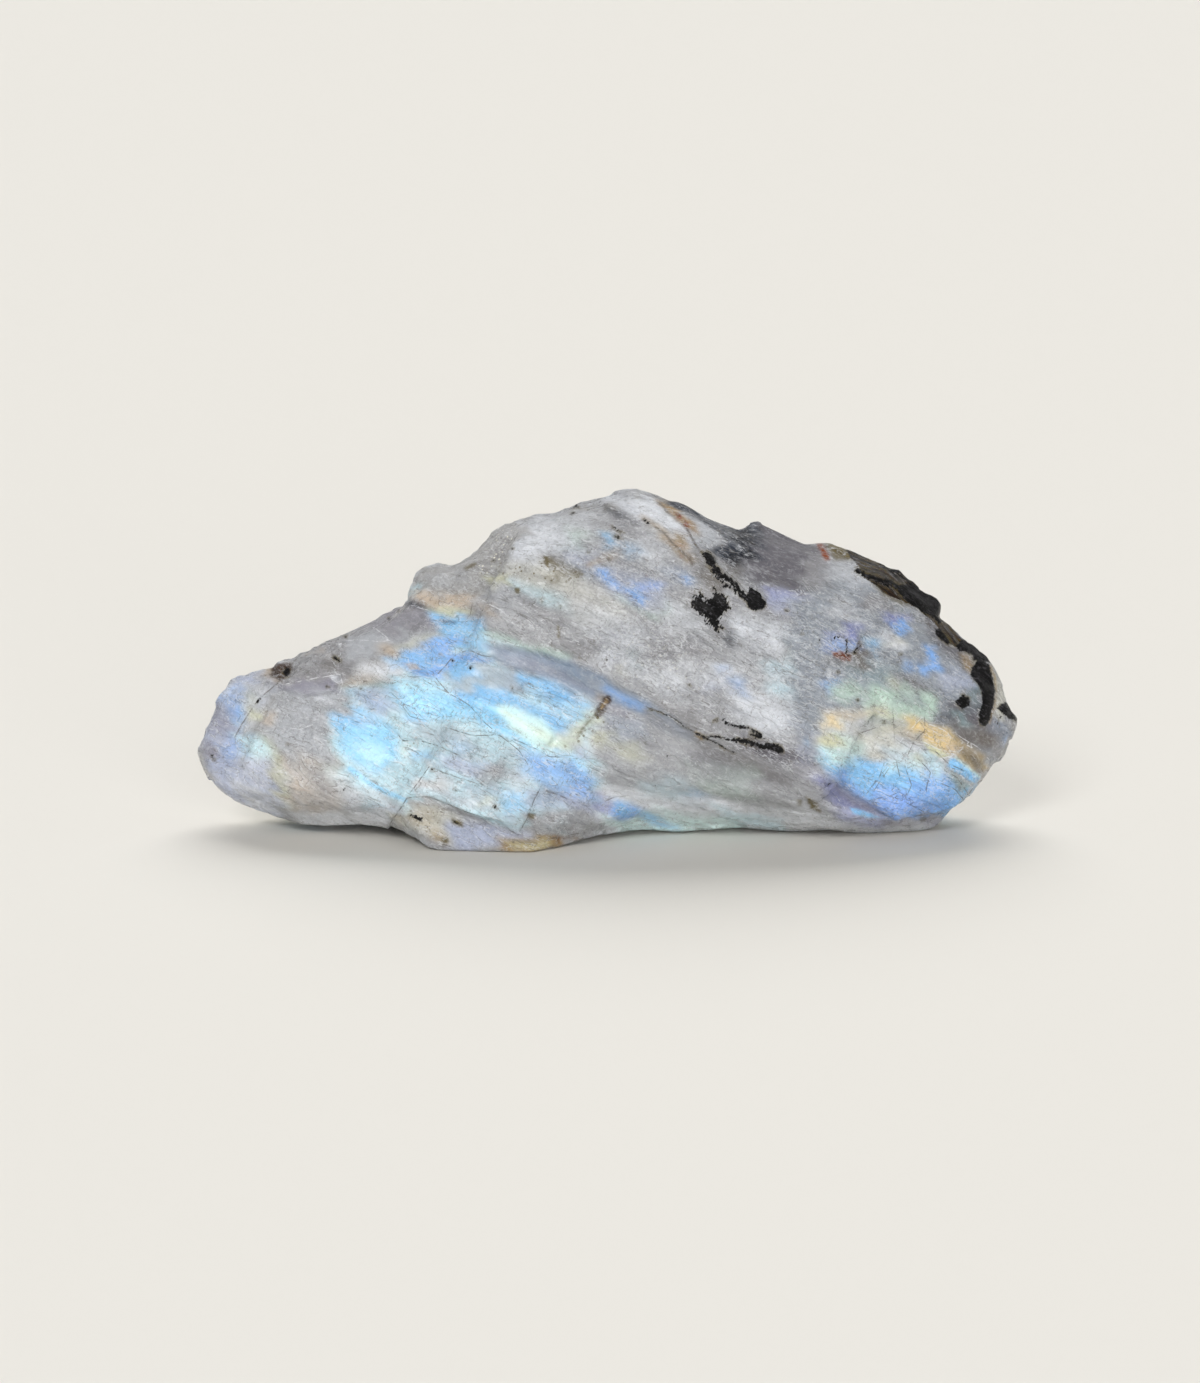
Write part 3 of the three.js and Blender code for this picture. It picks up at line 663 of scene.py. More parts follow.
# The flash block's blues and cyans are the flash, a painted sheen.
FLASH_BLOCK = paints("""
ice 1.3 1.0 330,700 380,680 400,665 430,640 470,625 520,670 590,700 590,745 600,790 560,830 520,850 \
    440,850 395,825 350,825 325,770 322,730
pearl 0.8 0.4 346,664 372,662 398,662 400,676 380,682 352,684
pearl 0.9 0.4 375,662 396,665 400,675 386,677
ochre 0.4 0.5 345,672 378,674 386,688 362,690 347,686
teal 0.5 0.3 372,680 390,680 396,690 374,692
lavender 0.8 0.5 340,690 378,688 390,704 386,717 352,712
sky 0.6 0.3 350,688 372,690 390,706 378,712
cyan 1.1 0.6 332,716 362,708 386,722 398,738 394,756 384,774 362,770 345,754
sky 0.8 0.5 330,712 356,707 366,724 340,732
glow 0.4 0.5 352,740 378,742 384,764 364,766
cyan 0.9 0.6 389,684 425,680 445,690 461,700 470,716 440,722 410,712 392,702
sky 0.9 0.5 440,660 462,664 470,680 452,682 438,676
glow 0.5 0.4 396,684 420,682 440,692 438,704 408,700
periwinkle 1.0 0.3 0.5 405,716 414,718 422,718
sky 1.1 0.4 437,636 444,620 480,618 488,634 484,650 456,648
periwinkle 1.2 0.4 396,647 412,640 437,634 458,638 456,652 448,664 438,676 423,677 410,672 398,662
sky 0.8 0.4 380,655 398,648 404,662 390,668
azure 1.1 0.25 406,668 420,670 438,670 436,678 422,679 410,674
peach 0.9 0.12 403,663 416,664 420,670 411,670
peach 0.5 0.12 438,652 443,653 444,657 439,656
azure 1.0 0.25 443,668 456,656 468,652 484,656 486,665 462,670
fog 1.3 0.3 441,674 483,664 517,672 526,682 520,692 498,690 470,690 452,694
lavender 0.4 0.5 500,675 520,675 525,690 505,695
sky 1.1 0.5 517,672 550,680 580,692 584,706 560,706 535,698 520,688
sky 0.5 0.5 540,703 586,700 593,716 575,732 556,722
sky 1.2 0.4 452,690 470,686 500,690 530,702 556,716 568,732 566,754 545,752 514,735 485,722 455,704
cyan 1.1 0.4 445,695 470,704 500,722 530,742 550,752 530,750 500,732 470,716 446,706
cyan 1.0 0.4 470,696 500,706 530,718 556,736 562,752 540,748 512,734 486,718
glow 1.3 0.3 498,706 520,710 542,718 560,733 566,748 558,756 540,750 520,738 504,722
ice 0.8 0.4 545,744 562,744 564,756 548,756
cyan 0.9 0.4 462,700 490,706 506,720 500,736 480,726 464,714
cyan 0.9 0.4 412,690 444,696 452,712 424,722 400,716
sky 0.9 0.3 446,664 470,660 478,676 452,680
haze 0.6 0.4 566,690 590,690 594,702 574,704
mist 0.6 0.5 440,738 480,740 490,758 452,756
pearl 0.7 0.4 398,758 440,762 440,784 404,784
azure 0.5 0.4 520,762 545,762 545,782 522,782
ice 0.6 0.5 340,686 372,686 376,704 346,706
butter 0.9 0.25 0.8 542,733 553,740 562,748
butter 0.5 0.15 0.25 504,712 520,720 534,728
ice 1.0 0.6 403,722 445,726 470,732 470,748 437,744 404,738
azure 0.4 0.4 440,736 466,738 472,750 450,748
ice 1.0 0.5 391,748 412,744 430,752 428,768 412,786 396,782
butter 0.4 0.5 400,745 416,747 414,756 400,754
sky 0.6 0.4 414,752 430,752 432,760 418,762
lavender 0.9 0.5 434,747 465,757 490,762 494,774 470,778 445,770
haze 1.1 0.2 495,757 506,761 501,784 490,786 477,782 480,770
cloud 0.9 0.4 414,790 430,769 446,776 462,784 448,794 424,794
peach 0.3 0.4 418,786 432,776 450,786 432,792
dusk 0.6 0.4 465,784 499,784 499,797 470,796
cloud 0.9 0.4 440,796 470,794 500,800 494,812 470,806
butter 0.5 0.2 0.3 477,803 490,800 503,800
pearl 0.7 0.5 503,772 520,768 535,780 534,795 510,796
sky 0.6 0.4 498,792 530,794 530,813 505,814
azure 0.8 0.6 522,752 549,756 575,760 594,776 596,798 572,802 550,788 530,768
periwinkle 0.5 0.4 560,782 588,786 588,800 568,800
cyan 0.8 0.2 574,758 584,758 586,770 578,770
lavender 0.8 0.3 570,745 588,746 590,757 574,758
cream 0.7 0.3 560,730 580,726 590,736 582,752 566,750
haze 0.7 0.4 338,772 352,774 364,800 352,814 342,806
cyan 1.0 0.15 0.45 350,769 371,784 386,792 405,800
ice 0.9 0.4 364,774 389,772 398,790 378,786
ice 0.7 0.5 386,766 410,768 414,790 392,790
mist 0.7 0.4 355,794 380,796 396,802 392,820 356,818
dusk 1.0 0.35 368,804 385,801 394,812 380,818
peach 0.7 0.35 0.7 325,742 330,754 334,768
lavender 1.0 0.4 534,790 560,794 586,800 600,816 566,812 531,808
dusk 0.7 0.4 543,784 568,790 568,805 545,802
pearl 0.7 0.4 344,786 392,790 392,806 350,806
sky 0.7 0.5 386,655 400,646 436,632 470,622 482,634 456,648 440,668 420,672 400,662
lavender 0.7 0.5 360,690 392,690 402,706 380,712 362,704
fog 0.8 0.5 410,722 450,728 474,736 470,748 440,742 410,736
lavender 0.5 0.4 352,716 372,712 380,722 364,728
glow 0.6 0.3 538,732 556,732 560,748 542,748
ice 0.5 0.4 520,684 542,684 544,700 524,700
ice 0.7 0.5 408,764 430,764 432,780 410,780
dusk 0.5 0.5 538,798 558,798 560,812 540,812
ice 0.6 0.4 362,796 380,796 384,812 366,812
cloud 0.6 0.4 346,796 362,796 364,812 348,812
mauve 0.5 0.4 588,700 632,704 636,716 590,714
mist 0.45 0.5 490,750 524,752 526,780 492,778
haze 1.2 0.35 528,813 588,812 602,830 560,840 520,836
""")
SCARP = paints("""
ice 0.7 0.5 467,633 490,632 530,646 571,663 556,660 520,650 480,644
dusk 1.1 0.35 477,642 500,645 527,650 556,657 578,667 608,679 630,692 660,712 700,737 690,738 655,722 \
    625,707 597,702 578,693 556,683 534,675 512,671 490,662
mauve 0.5 0.5 500,654 540,662 576,678 600,694 570,684 530,670
mint 0.8 0.2 0.45 482,631 505,638 532,646 556,655 574,663
umber 0.5 0.3 0.35 468,650 490,657 512,669 540,676
azure 0.7 0.25 0.6 608,687 622,696 644,710
stone 0.8 0.4 0.8 650,716 680,728 704,742
""")
# The pearl strip along the bottom, from 296,812 to 398,836, is painted light on the downward-facing
# underside, and the pearl stroke from 304,697 to 324,700 is a painted highlight.
LEFT_LOBE = paints("""
lavender 1.3 0.6 200,745 208,715 220,690 233,675 258,670 277,684 258,700 246,719 236,737 262,741 266,765 \
    284,800 292,812 262,812 222,792 207,767
azure 0.75 0.4 236,683 246,702 247,713 238,720 224,706 222,696 231,683
sky 0.6 0.4 236,706 246,706 246,726 238,728
butter 0.5 0.35 238,682 250,688 254,705 248,716 244,700
haze 0.9 0.4 250,675 262,673 276,687 258,699 252,688
mauve 0.6 0.5 206,712 222,708 234,724 232,735 210,736
mauve 0.9 0.3 199,745 206,738 210,748 208,766 202,758
azure 0.55 0.5 214,745 232,736 250,733 262,742 264,752 250,760 222,758
pearl 0.5 0.8 234,752 262,756 268,776 240,780
frost 1.4 0.7 262,712 285,690 345,690 345,715 327,722 330,745 326,770 352,800 392,828 330,828 292,812 \
    285,790 270,750
haze 0.6 0.6 268,692 300,692 336,704 330,726 290,728 272,716
peach 0.5 1.0 290,750 330,760 345,790 340,820 305,822 292,790
stone 0.8 0.8 318,766 330,772 338,800 316,800
pearl 0.6 0.5 240,708 262,708 264,730 246,732
butter 0.6 0.5 0.9 265,743 270,755 276,772 281,792 287,806
peach 0.7 0.35 0.8 279,757 286,770 294,786
peach 0.8 0.3 0.8 288,794 293,806
peach 1.0 0.3 260,710 267,710 273,726 265,728 259,718
butter 0.7 0.3 247,710 259,711 260,722 250,722
glow 0.7 0.5 240,736 262,738 268,752 256,762 240,752
pearl 0.8 0.5 232,782 262,788 290,802 272,814 240,802
pearl 1.2 0.4 296,812 350,814 394,808 398,836 350,838 300,828
mauve 1.1 0.25 281,684 340,674 342,690 323,694 303,696 283,690
cloud 0.9 0.12 330,676 339,675 342,682 334,681
pearl 0.6 0.2 0.35 304,697 318,696 324,700
haze 0.8 0.3 257,668 275,662 296,658 290,666 268,672
ochre 0.7 0.4 262,666 290,660 296,666 280,684 268,680
brown 1.1 0.25 271,667 289,665 291,672 282,682 273,678
brown 1.2 0.15 271,664 290,663 293,670 284,679 273,677
cloud 0.5 0.8 290,690 330,688 334,712 296,724
pearl 0.6 0.4 244,682 266,684 262,708 246,706
pearl 0.6 0.4 222,688 236,684 240,700 226,704
ice 0.5 0.5 234,732 252,732 254,748 236,748
""")
LEFT_CREST = paints("""
stone 1.3 0.5 294,658 343,628 400,600 432,605 445,620 430,634 400,648 372,662 348,672 340,674 281,684
haze 0.7 0.4 296,656 320,646 340,640 338,654 312,666 296,672
mauve 0.5 0.4 353,632 383,611 429,607 432,620 410,634 380,641 356,640
haze 0.7 0.4 354,632 376,626 388,638 372,641 356,641
frost 0.9 0.4 346,636 392,634 436,626 440,636 400,654 372,662 346,662
umber 0.5 0.5 322,658 339,655 340,671 326,671
peach 0.9 0.4 370,645 392,644 394,653 376,655
peach 0.5 0.25 0.35 306,658 314,654 326,650
butter 0.5 0.3 0.5 396,646 420,638 442,632
lavender 0.7 0.5 430,612 461,613 458,623 432,628
grey 1.4 0.4 406,600 410,580 423,567 468,556 478,542 501,521 521,516 523,530 512,548 496,574 480,598 \
    440,592 415,592
frost 0.5 0.6 415,580 440,572 474,568 470,580 440,584
ice 0.8 0.3 410,586 424,584 428,596 410,602
peach 1.0 0.35 424,594 440,591 475,594 472,604 451,606 430,606 416,600
butter 0.9 0.3 427,606 444,605 468,608 466,616 448,614 432,610
mint 0.6 0.25 0.5 434,609 446,614 459,619
sky 1.0 0.25 430,613 445,616 460,615 470,614 466,623 440,623
slate 0.8 0.2 0.5 412,605 420,606 431,607
slate 0.7 0.15 0.25 440,620 448,622 456,623
""")
BOTTOM_LUMP = paints("""
haze 1.4 0.3 407,798 429,797 451,806 471,813 489,820 521,829 592,832 560,850 518,857 476,855 445,857 \
    420,846 388,827
cream 0.8 0.6 398,804 430,803 452,815 448,838 420,834 396,822
ochre 0.3 0.5 400,808 430,808 440,822 420,828 400,822
ochre 0.6 0.4 425,828 440,830 442,842 430,840
lavender 1.0 0.5 452,818 490,824 526,832 520,842 480,850 450,846
mauve 0.5 0.5 492,812 518,814 520,828 496,826
ochre 1.0 0.25 493,838 530,838 572,834 566,846 530,852 497,852
butter 0.6 0.3 505,842 550,840 548,848 508,851
olive 0.9 0.2 515,841 530,840 532,845 517,846
rust 0.5 0.3 550,840 572,836 568,843
olive 1.0 0.12 452,820 462,821 462,826 453,825
olive 1.0 0.12 442,838 448,838 447,845 442,844
olive 0.9 0.12 528,812 536,814 535,819 529,818
brown 0.8 0.1 0.12 551,839 565,838 575,836
""")
OLIVE_GRAINS = paints("""
ochre 0.5 0.3 598,694 612,696 614,704 600,704
brown 0.9 0.1 0.8 608,699 603,707 598,714
ochre 0.9 0.08 0.2 607,700 601,709
butter 0.6 0.4 1.2 592,717 582,728 570,742
olive 0.7 0.12 0.3 594,716 584,727 577,738
olive 1.1 0.15 543,556 550,556 549,568 545,567
olive 1.0 0.2 553,559 562,563 568,576 560,575
olive 0.8 0.25 556,566 556,584 548,583
olive 0.8 0.2 574,569 582,571 581,581 576,579
olive 0.9 0.12 514,588 520,588 521,594 516,594
olive 0.7 0.12 539,597 544,598 542,604
olive 0.7 0.12 0.3 558,626 559,637
olive 0.7 0.15 0.4 466,568 474,564
ochre 0.6 0.2 0.5 592,566 602,560 614,557
olive 1.1 0.1 806,796 818,802 822,813 811,808
olive 0.8 0.12 797,800 802,800 802,806 798,806
ochre 0.7 0.15 0.4 697,733 702,738
rust 0.7 0.08 0.15 645,575 646,576
rust 0.7 0.08 0.15 681,555 682,556
""")
FRONT_PAINT = (UPPER_BLOCK + TOP_EDGE + RIGHT_BLOCK + LOWER_FACET + FLASH_BLOCK + SCARP
               + LEFT_LOBE + LEFT_CREST + BOTTOM_LUMP + OLIVE_GRAINS)

# Black mineral on the front.
FRONT_DARK = minerals("""
0.35 701,552 708,552 712,555 715,561 714,564 710,566 716,572 719,576 718,577 710,570 705,562
0.40 0.50 709,558 714,567 720,574 728,579 735,585 740,591 745,598
0.70 0.30 717,576 724,584 733,589 739,595
0.35 749,585 755,589 760,592 765,600 767,604 763,609 754,611 749,608 746,602 742,595 747,594
1.00 690,599 694,600 698,590 701,594 706,600 710,600 714,588 716,594 721,591 728,601 729,608 721,616 \
    719,623 722,628 719,633 715,630 708,625 707,620 700,614 697,609 692,606
0.10 286,667 290,668 290,674 286,677 283,673
0.20 0.22 697,734 703,737 714,737 721,737 726,739 739,741
0.35 0.46 737,740 748,742 758,745 770,748
0.15 0.12 703,737 714,742 724,748 735,753
0.30 765,744 769,741 773,743 780,744 783,749 783,753 778,753 767,748
0.40 0.10 714,720 724,719
0.25 0.30 726,723 735,726 744,728
0.20 0.24 744,728 753,731 762,735
0.25 0.26 750,734 765,738
0.20 0.05 649,710 660,712 674,719 685,727 697,734
0.30 0.34 411,815 421,820
0.20 0.22 453,821 461,825
0.10 573,508 577,504 580,508 577,507
0.30 0.14 571,514 573,513
0.30 0.12 612,526 624,534
0.40 0.24 615,537 620,538
0.30 0.22 644,520 650,524
0.20 0.22 211,755 214,760
0.10 0.24 334,657 339,661
0.20 0.20 257,702 261,698
0.15 954,701 962,695 969,698 970,705 962,709
0.35 0.13 831,640 838,637 845,640 847,647 846,653
0.35 0.16 861,639 858,648 853,655 846,656
0.20 0.12 826,784 830,784
""")
DOT_RAGGED, DOT_WIDTH = 0.2, 0.17
FRONT_DOTS = pixels("""
328,686 361,688 370,709 305,768 288,745 344,789 399,611 389,619 573,655 579,659 901,654 346,637 373,709
396,700 452,661 470,668 418,742 432,770 540,700 497,722 512,688 531,696 456,790 494,807 330,741 318,729
607,660 640,742 668,756 655,785 700,800 690,686 665,619 676,661 628,590 588,552 560,607 531,583 512,549
493,560 787,610 802,633 820,640 838,672 858,700 884,722 873,776 921,790
""")
FRONT_DARK += [(DOT_RAGGED, shape(np.array([dot, dot]), DOT_WIDTH)) for dot in FRONT_DOTS]

# Black mineral at the right end that runs right through the stone.
THROUGH_DARK = minerals("""
0.10 982,659 989,665 993,677 995,690 993,705 990,721 986,726 980,724 979,714 982,704 981,692 977,683 \
    970,675 972,667 977,660
0.20 956,645 960,642 961,638 968,639 978,645 986,654 991,662 984,661 973,660 972,654 968,652 960,651
0.10 935,629 940,629 945,634 950,641 949,645 943,641 936,635
0.15 896,584 909,584 917,584 925,590 934,596 941,604 941,614 935,618 921,611 905,600 898,592
0.60 0.50 858,570 867,575 874,578 882,581 890,582 898,587 906,591
0.60 893,563 903,569 914,579 926,588 930,594 918,588 908,582 898,574 888,568
0.40 0.40 924,607 932,613 941,622
0.50 0.30 868,556 880,563 893,570 904,578 913,586
0.20 996,709 1001,703 1008,702 1013,708 1017,721 1009,719 1002,714
0.60 0.12 1000,717 998,725
""")

# Valleys between facets that are eased away, because the stone doesn't have them.
CREASES = areas("""
1.0 1.8 1.2 462,692 447,716 426,752 408,788 394,818
1.0 1.8 1.2 888,712 868,728 858,745 850,762 846,784
""")

# Hollows in the front, each with how deep it is in mm. Less than 0 is a rise.
HOLLOWS = areas("""
-0.70 0.8 1.0 897,574 910,584 925,594 938,606
-0.85 0.7 1.0 405,592 411,580 424,573 440,569
-0.20 0.8 0.8 206,724 216,708 222,696
-0.40 0.7 0.6 232,682 240,676 262,671 278,665
-0.35 0.6 0.6 382,614 396,608
0.42 1.0 0.8 974,646 990,659 1004,680 1013,708
0.30 1.2 0.8 610,492 640,489 662,498
0.45 0.45 272,666 290,665 292,672 283,681 274,678
0.30 0.50 290,668 297,660 300,664 280,688 274,688
""")

# Frosted grain, smooth cleavage, painted glints and olive specks.
FROSTED = areas("""
1.0 0.8 478,545 505,525 515,530 508,550 485,565
0.9 1.5 580,600 640,598 700,635 720,690 660,700 600,665
0.7 1.5 640,540 690,560 700,600 640,620 600,580
0.7 1.5 740,620 900,590 910,650 850,690 760,700
0.5 1.5 285,700 330,705 330,750 290,760
0.15 1.5 600,760 700,760 800,800 780,828 640,820
0.5 1.0 420,570 470,560 470,585 420,585
0.7 1.5 560,520 640,520 690,560 640,600 560,580
""")
SMOOTH = areas("""
1.0 0.3 281,684 340,674 335,691 323,694 303,696 283,690
0.9 0.8 762,527 800,539 820,554 836,572 815,584 780,582 752,579 742,572 750,556
0.9 0.5 345,640 355,629 383,613 429,609 410,636 372,660 340,670
0.9 0.4 477,642 527,650 578,667 630,692 700,737 655,722 597,702 534,675 490,662
0.9 0.4 832,780 850,792 886,816 850,812 826,788
0.8 0.3 447,673 483,664 519,672 527,680 521,688 498,698 456,692
0.9 0.8 955,718 996,722 1000,750 986,768 960,752
0.7 0.8 340,735 365,730 385,738 392,752 382,770 358,770 345,755
0.8 0.6 484,700 530,708 568,738 560,752 512,730 480,708
0.8 1.0 640,712 700,742 790,772 830,800 740,790 660,745
0.5 1.0 600,745 700,760 820,800 820,826 700,820 600,800
""")
GLINT_AREAS = areas("""
1.0 0.6 474,566 484,542 500,526 514,520 519,524 512,545 504,562 488,573
0.3 1.5 590,640 640,620 700,660 720,690 660,700 610,670
0.4 0.6 566,690 590,705 584,730 560,745 570,715
""")
SPECKLED = areas("""
0.9 0.8 500,562 533,562 570,556 585,570 580,583 548,584 500,575
0.8 0.5 1.6 600,716 586,728 572,742
0.5 0.8 398,802 440,806 445,835 420,838 396,822
0.7 0.5 398,738 416,737 420,746 402,748
0.5 0.8 586,562 612,555 616,566 592,572
0.7 0.4 652,498 668,502 690,516 700,540 694,552 680,546 676,530 664,516
0.6 0.5 566,500 600,498 604,510 574,514
""")

# Ledges, each with how far its upper side stands proud and how far that reaches, in mm.
LEDGES = lines("""
0.30 2.5 437,675 448,662 457,654 468,650 480,655 490,657 509,668 534,672
0.30 2.5 399,736 402,741 414,740 437,745 457,754
0.35 2.5 429,766 443,773 461,779 483,785 501,785
0.25 1.5 407,798 411,792 429,766
0.20 1.5 479,782 495,757
0.25 1.5 521,829 530,813 534,801 542,785
0.30 2.0 543,790 553,793 583,804
0.45 3.0 391,823 407,798 429,797 451,806 471,813 489,819
0.25 2.0 281,684 303,680 340,674
0.25 1.5 303,696 323,694 335,691
0.20 2.0 354,640 380,642 395,639 410,636
0.20 2.0 445,728 471,735 495,735 517,741 536,749 549,757 561,757
0.35 2.5 832,778 850,791 871,803 893,819
0.25 2.0 925,717 941,724 960,735 980,750 1000,765
0.30 2.0 907,817 939,814 965,803
0.20 1.5 850,760 872,756 893,742 914,741
0.25 2.0 632,604 645,617 658,621
0.30 2.5 600,573 614,588 632,602
0.25 2.0 713,721 725,720 744,728 758,734
0.20 2.0 465,691 477,687 498,698 527,697
""")

# Fine dark cracks, and pale lines that are painted highlights along edges, each with its width in mm.
CRACKS = lines("""
0.10 296,659 277,684 258,700 251,709 245,719 235,737
0.09 437,675 448,662 457,654 468,650 480,655 490,657
0.10 399,736 402,741 414,740 437,745 457,754
0.07 424,681 454,696 468,704 486,724 498,734 520,751 527,762
0.07 445,728 471,735 495,735 517,741 536,749 549,757 561,757
0.08 429,766 443,773 461,779 483,785
0.08 411,792 429,766
0.09 391,823 407,798
0.06 407,798 429,797 451,806 471,813 489,819
0.07 521,829 530,813 534,801 542,785
0.08 543,790 553,793 566,798
0.06 606,801 616,797 627,796
0.08 648,708 670,716 697,734 710,740 732,753
0.07 380,681 391,684 401,681
0.06 432,675 449,693
0.06 925,717 925,732 914,741 905,760
0.06 893,710 894,740
0.05 875,790 884,776 889,768
0.05 884,800 900,792 912,800
0.07 894,722 880,726 862,732
0.06 473,599 470,617
0.05 417,664 424,668 437,675
0.08 538,838 553,838 586,832
0.07 907,817 922,815 939,814
0.05 371,783 385,793
0.05 400,704 410,716 424,720
0.05 392,694 404,704 416,709
0.06 868,792 880,776 884,764
0.06 893,790 900,776 896,762
0.06 905,768 912,784 905,800
0.07 918,760 930,772 926,790
0.08 936,752 948,764 962,770
0.06 870,800 890,796 905,802 925,812
0.09 946,772 958,778 966,790 972,800
0.08 942,784 956,790 966,802
""")
HIGHLIGHT_LINES = lines("""
0.07 284,684 340,674
0.06 354,640 380,642 395,639
0.08 340,674 343,684 340,692
0.06 374,628 387,637
0.06 330,645 354,640
0.07 333,679 341,684
0.06 478,598 501,610
0.06 412,606 428,610
0.08 948,759 959,751
0.07 960,736 978,748 989,760
0.06 664,713 682,726
0.05 626,790 644,793 681,785
0.05 834,793 845,809
0.05 739,806 747,798 752,793
0.05 735,797 742,804
0.06 340,642 340,672
0.06 304,697 318,697 324,700
0.06 287,728 300,729 312,724
0.08 921,741 940,750 958,752
0.09 936,760 952,756 968,745
0.08 930,724 944,730 956,740 972,748
0.07 900,742 910,730 921,718
0.07 950,768 962,776 974,788
""")


# ---------------------------------------------------------------- the stone's mesh

VOXEL = 0.26  # mm, the grain of the stone's mesh
TRIANGLES = 196000  # the mesh is thinned out to these
THINNING, THINNING_LEVELS = 4.0, 4  # how much more the back is thinned out, and in how many steps
AWAY = (0.0, 0.6)  # how far a normal points back where that begins, and where it is whole

# Facets' edges are softened in passes: a few everywhere, more inside the outline, and most on CREASES.
EASING, INNER_EASING, CREASE_EASING = 6, 28, 90
INSIDE = (0.15, 0.55)  # how far a normal points to the front or the back where the inside begins and is whole
BEHIND = (3, 7)  # mm, how far back the surface begins to count as inside too, and does so wholly
INSIDE_SPREAD = 10  # passes that soften where the inside begins

FRONT = (0.35, 0.0)  # how far a normal points back where the front's paints end, and where they are whole
NORMAL_SPREAD = 8  # passes that soften the normals
LOOSE, FIRM = 0.45, 0.12  # mm, how far soft and sharp edges wander
STREAKS = 1.6  # mm, how far the flash streaks out along the cleavage
FINE_EDGE = 0.15  # mm, paints with an edge no softer than this stay crisp
BROAD_SPREAD = 3  # passes that soften the other paints
MOTTLE_SHARE = 0.4  # how much of a paint its mottle can thin away
STRATA_EDGE = 0.35  # mm
MARK_REACH, MARK_END = (0.7, 0.35), 0.4  # mm, how far beside and past a crack's line it fades out

# Noises and slabs: how big they are in mm along, back and across the cleavage, which channel they draw from,
# and how many octaves they have where that isn't 3.
CLOUDS = ((11, 9, 7), 40)
WARMTH = ((8, 7, 5), 50)
FLASH = ((19, 13, 8), 60, 4)
FLASH_BANDS = ((4.5, 3, 0.6), 65)
WANDER = (((3, 2.5, 1.5), 70), ((3, 2.5, 1.5), 80))
STREAKING = ((4.5, 3, 0.6), 85)
BACK_FROST = ((9, 7, 5), 90)
BACK_MINERAL = ((4.5, 4, 2.2), 210, 4)
MOTTLES = (((4.0, 2.5, 0.8), 150), ((4.0, 2.5, 0.8), 160), ((4.0, 2.5, 0.8), 170))
STEPS = ((15, 12, 4.5), 140)
PLATES = ((6, 5, 2.4), 100)
CHIPS = ((2.4, 2.2, 1.2), 110)
SWELLS = ((2.2, 1.8, 1.4), 120)
FROST = (0.6, 130)

# Where on its noise each of these begins, and where it is whole.
CLOUDED, WARMED, BACK_FROSTED, MOTTLED = (-0.35, 0.45), (0.1, 0.7), (0.0, 0.5), (-0.6, 0.2)
WARM_SHARE = 0.5

# The relief in mm.
STEP_RANGE, STEP_HEIGHT = 0.4, 0.20  # how far up and down the steps climb, and how high each one is
RISER = (0.38, 0.62)  # where on a step its riser begins and ends
PLATE_HEIGHT, CHIP_HEIGHT, FROSTED_CHIP_HEIGHT = 0.10, 0.02, 0.05
SWELL_HEIGHT, FROST_HEIGHT, MINERAL_HEIGHT = 0.012, 0.04, 0.14
MINERAL_FLANK = (0.1, -0.25)  # how far outside its edge black mineral begins to rise, and has risen wholly
LEDGE_FLANK, LEDGE_END = 0.18, 1.2  # how wide a ledge's flank is, and how far past its end it fades out
SMOOTHING = 0.85  # how much of the relief smooth cleavage lacks
FOOT = (0.1, 0.9)  # no relief up to this far above the floor, and all of it from this far on

# The flash on the back, a painted sheen, from its rim inwards: its tint, its strength, and the level of FLASH
# where it starts.
BACK_FLASH = (("butter", 0.7, 0.12), ("mint", 0.6, 0.18), ("cyan", 0.9, 0.24), ("sky", 0.9, 0.34),
              ("periwinkle", 0.8, 0.48))
BACK_FLASH_EDGE, BAND_SHARE = 0.08, 0.16
BACK_MINERAL_FROM = 0.56  # BACK_MINERAL's noise is black mineral above this
BACK_MINERAL_SPAN = 5  # mm for each unit of that noise
BACK_MINERAL_RAGGED = 0.6
OTHER_SIDE = 4  # mm, how far off the minerals of the other side count as


def with_modifiers_applied(stone):
    graph = bpy.context.evaluated_depsgraph_get()
    mesh = bpy.data.meshes.new_from_object(stone.evaluated_get(graph))
    stone.modifiers.clear()
    stone.data = mesh


def fine_copy(node):
    """A copy of a CAD node's mesh with an even grain and fine relief, thinned out at the back."""
    stone = bpy.data.objects.new("rough_moonstone", node.data.copy())
    bpy.context.scene.collection.objects.link(stone)
    remesh = stone.modifiers.new("remesh", "REMESH")
    remesh.mode = "VOXEL"
    remesh.voxel_size = VOXEL * MM
    with_modifiers_applied(stone)
    ease_facets(stone.data)
    raise_relief(stone.data)
    thin_out(stone)
    return stone


def thin_out(stone):
    """Thins the mesh to TRIANGLES, and THINNING times as much where it faces back."""
    away = smoothstep(*AWAY, directions(stone.data)[:, 1])
    hidden = stone.vertex_groups.new(name="hidden")
    for level in range(1, THINNING_LEVELS + 1):
        chosen = np.flatnonzero(np.round(away * THINNING_LEVELS) == level)
        hidden.add(chosen.tolist(), level / THINNING_LEVELS, "REPLACE")
    thin = stone.modifiers.new("thin", "DECIMATE")
    triangles = 2 * len(stone.data.polygons)
    thin.ratio = min(1.0, TRIANGLES / triangles)
    thin.vertex_group = "hidden"
    thin.vertex_group_factor = THINNING
    with_modifiers_applied(stone)
    stone.vertex_groups.clear()


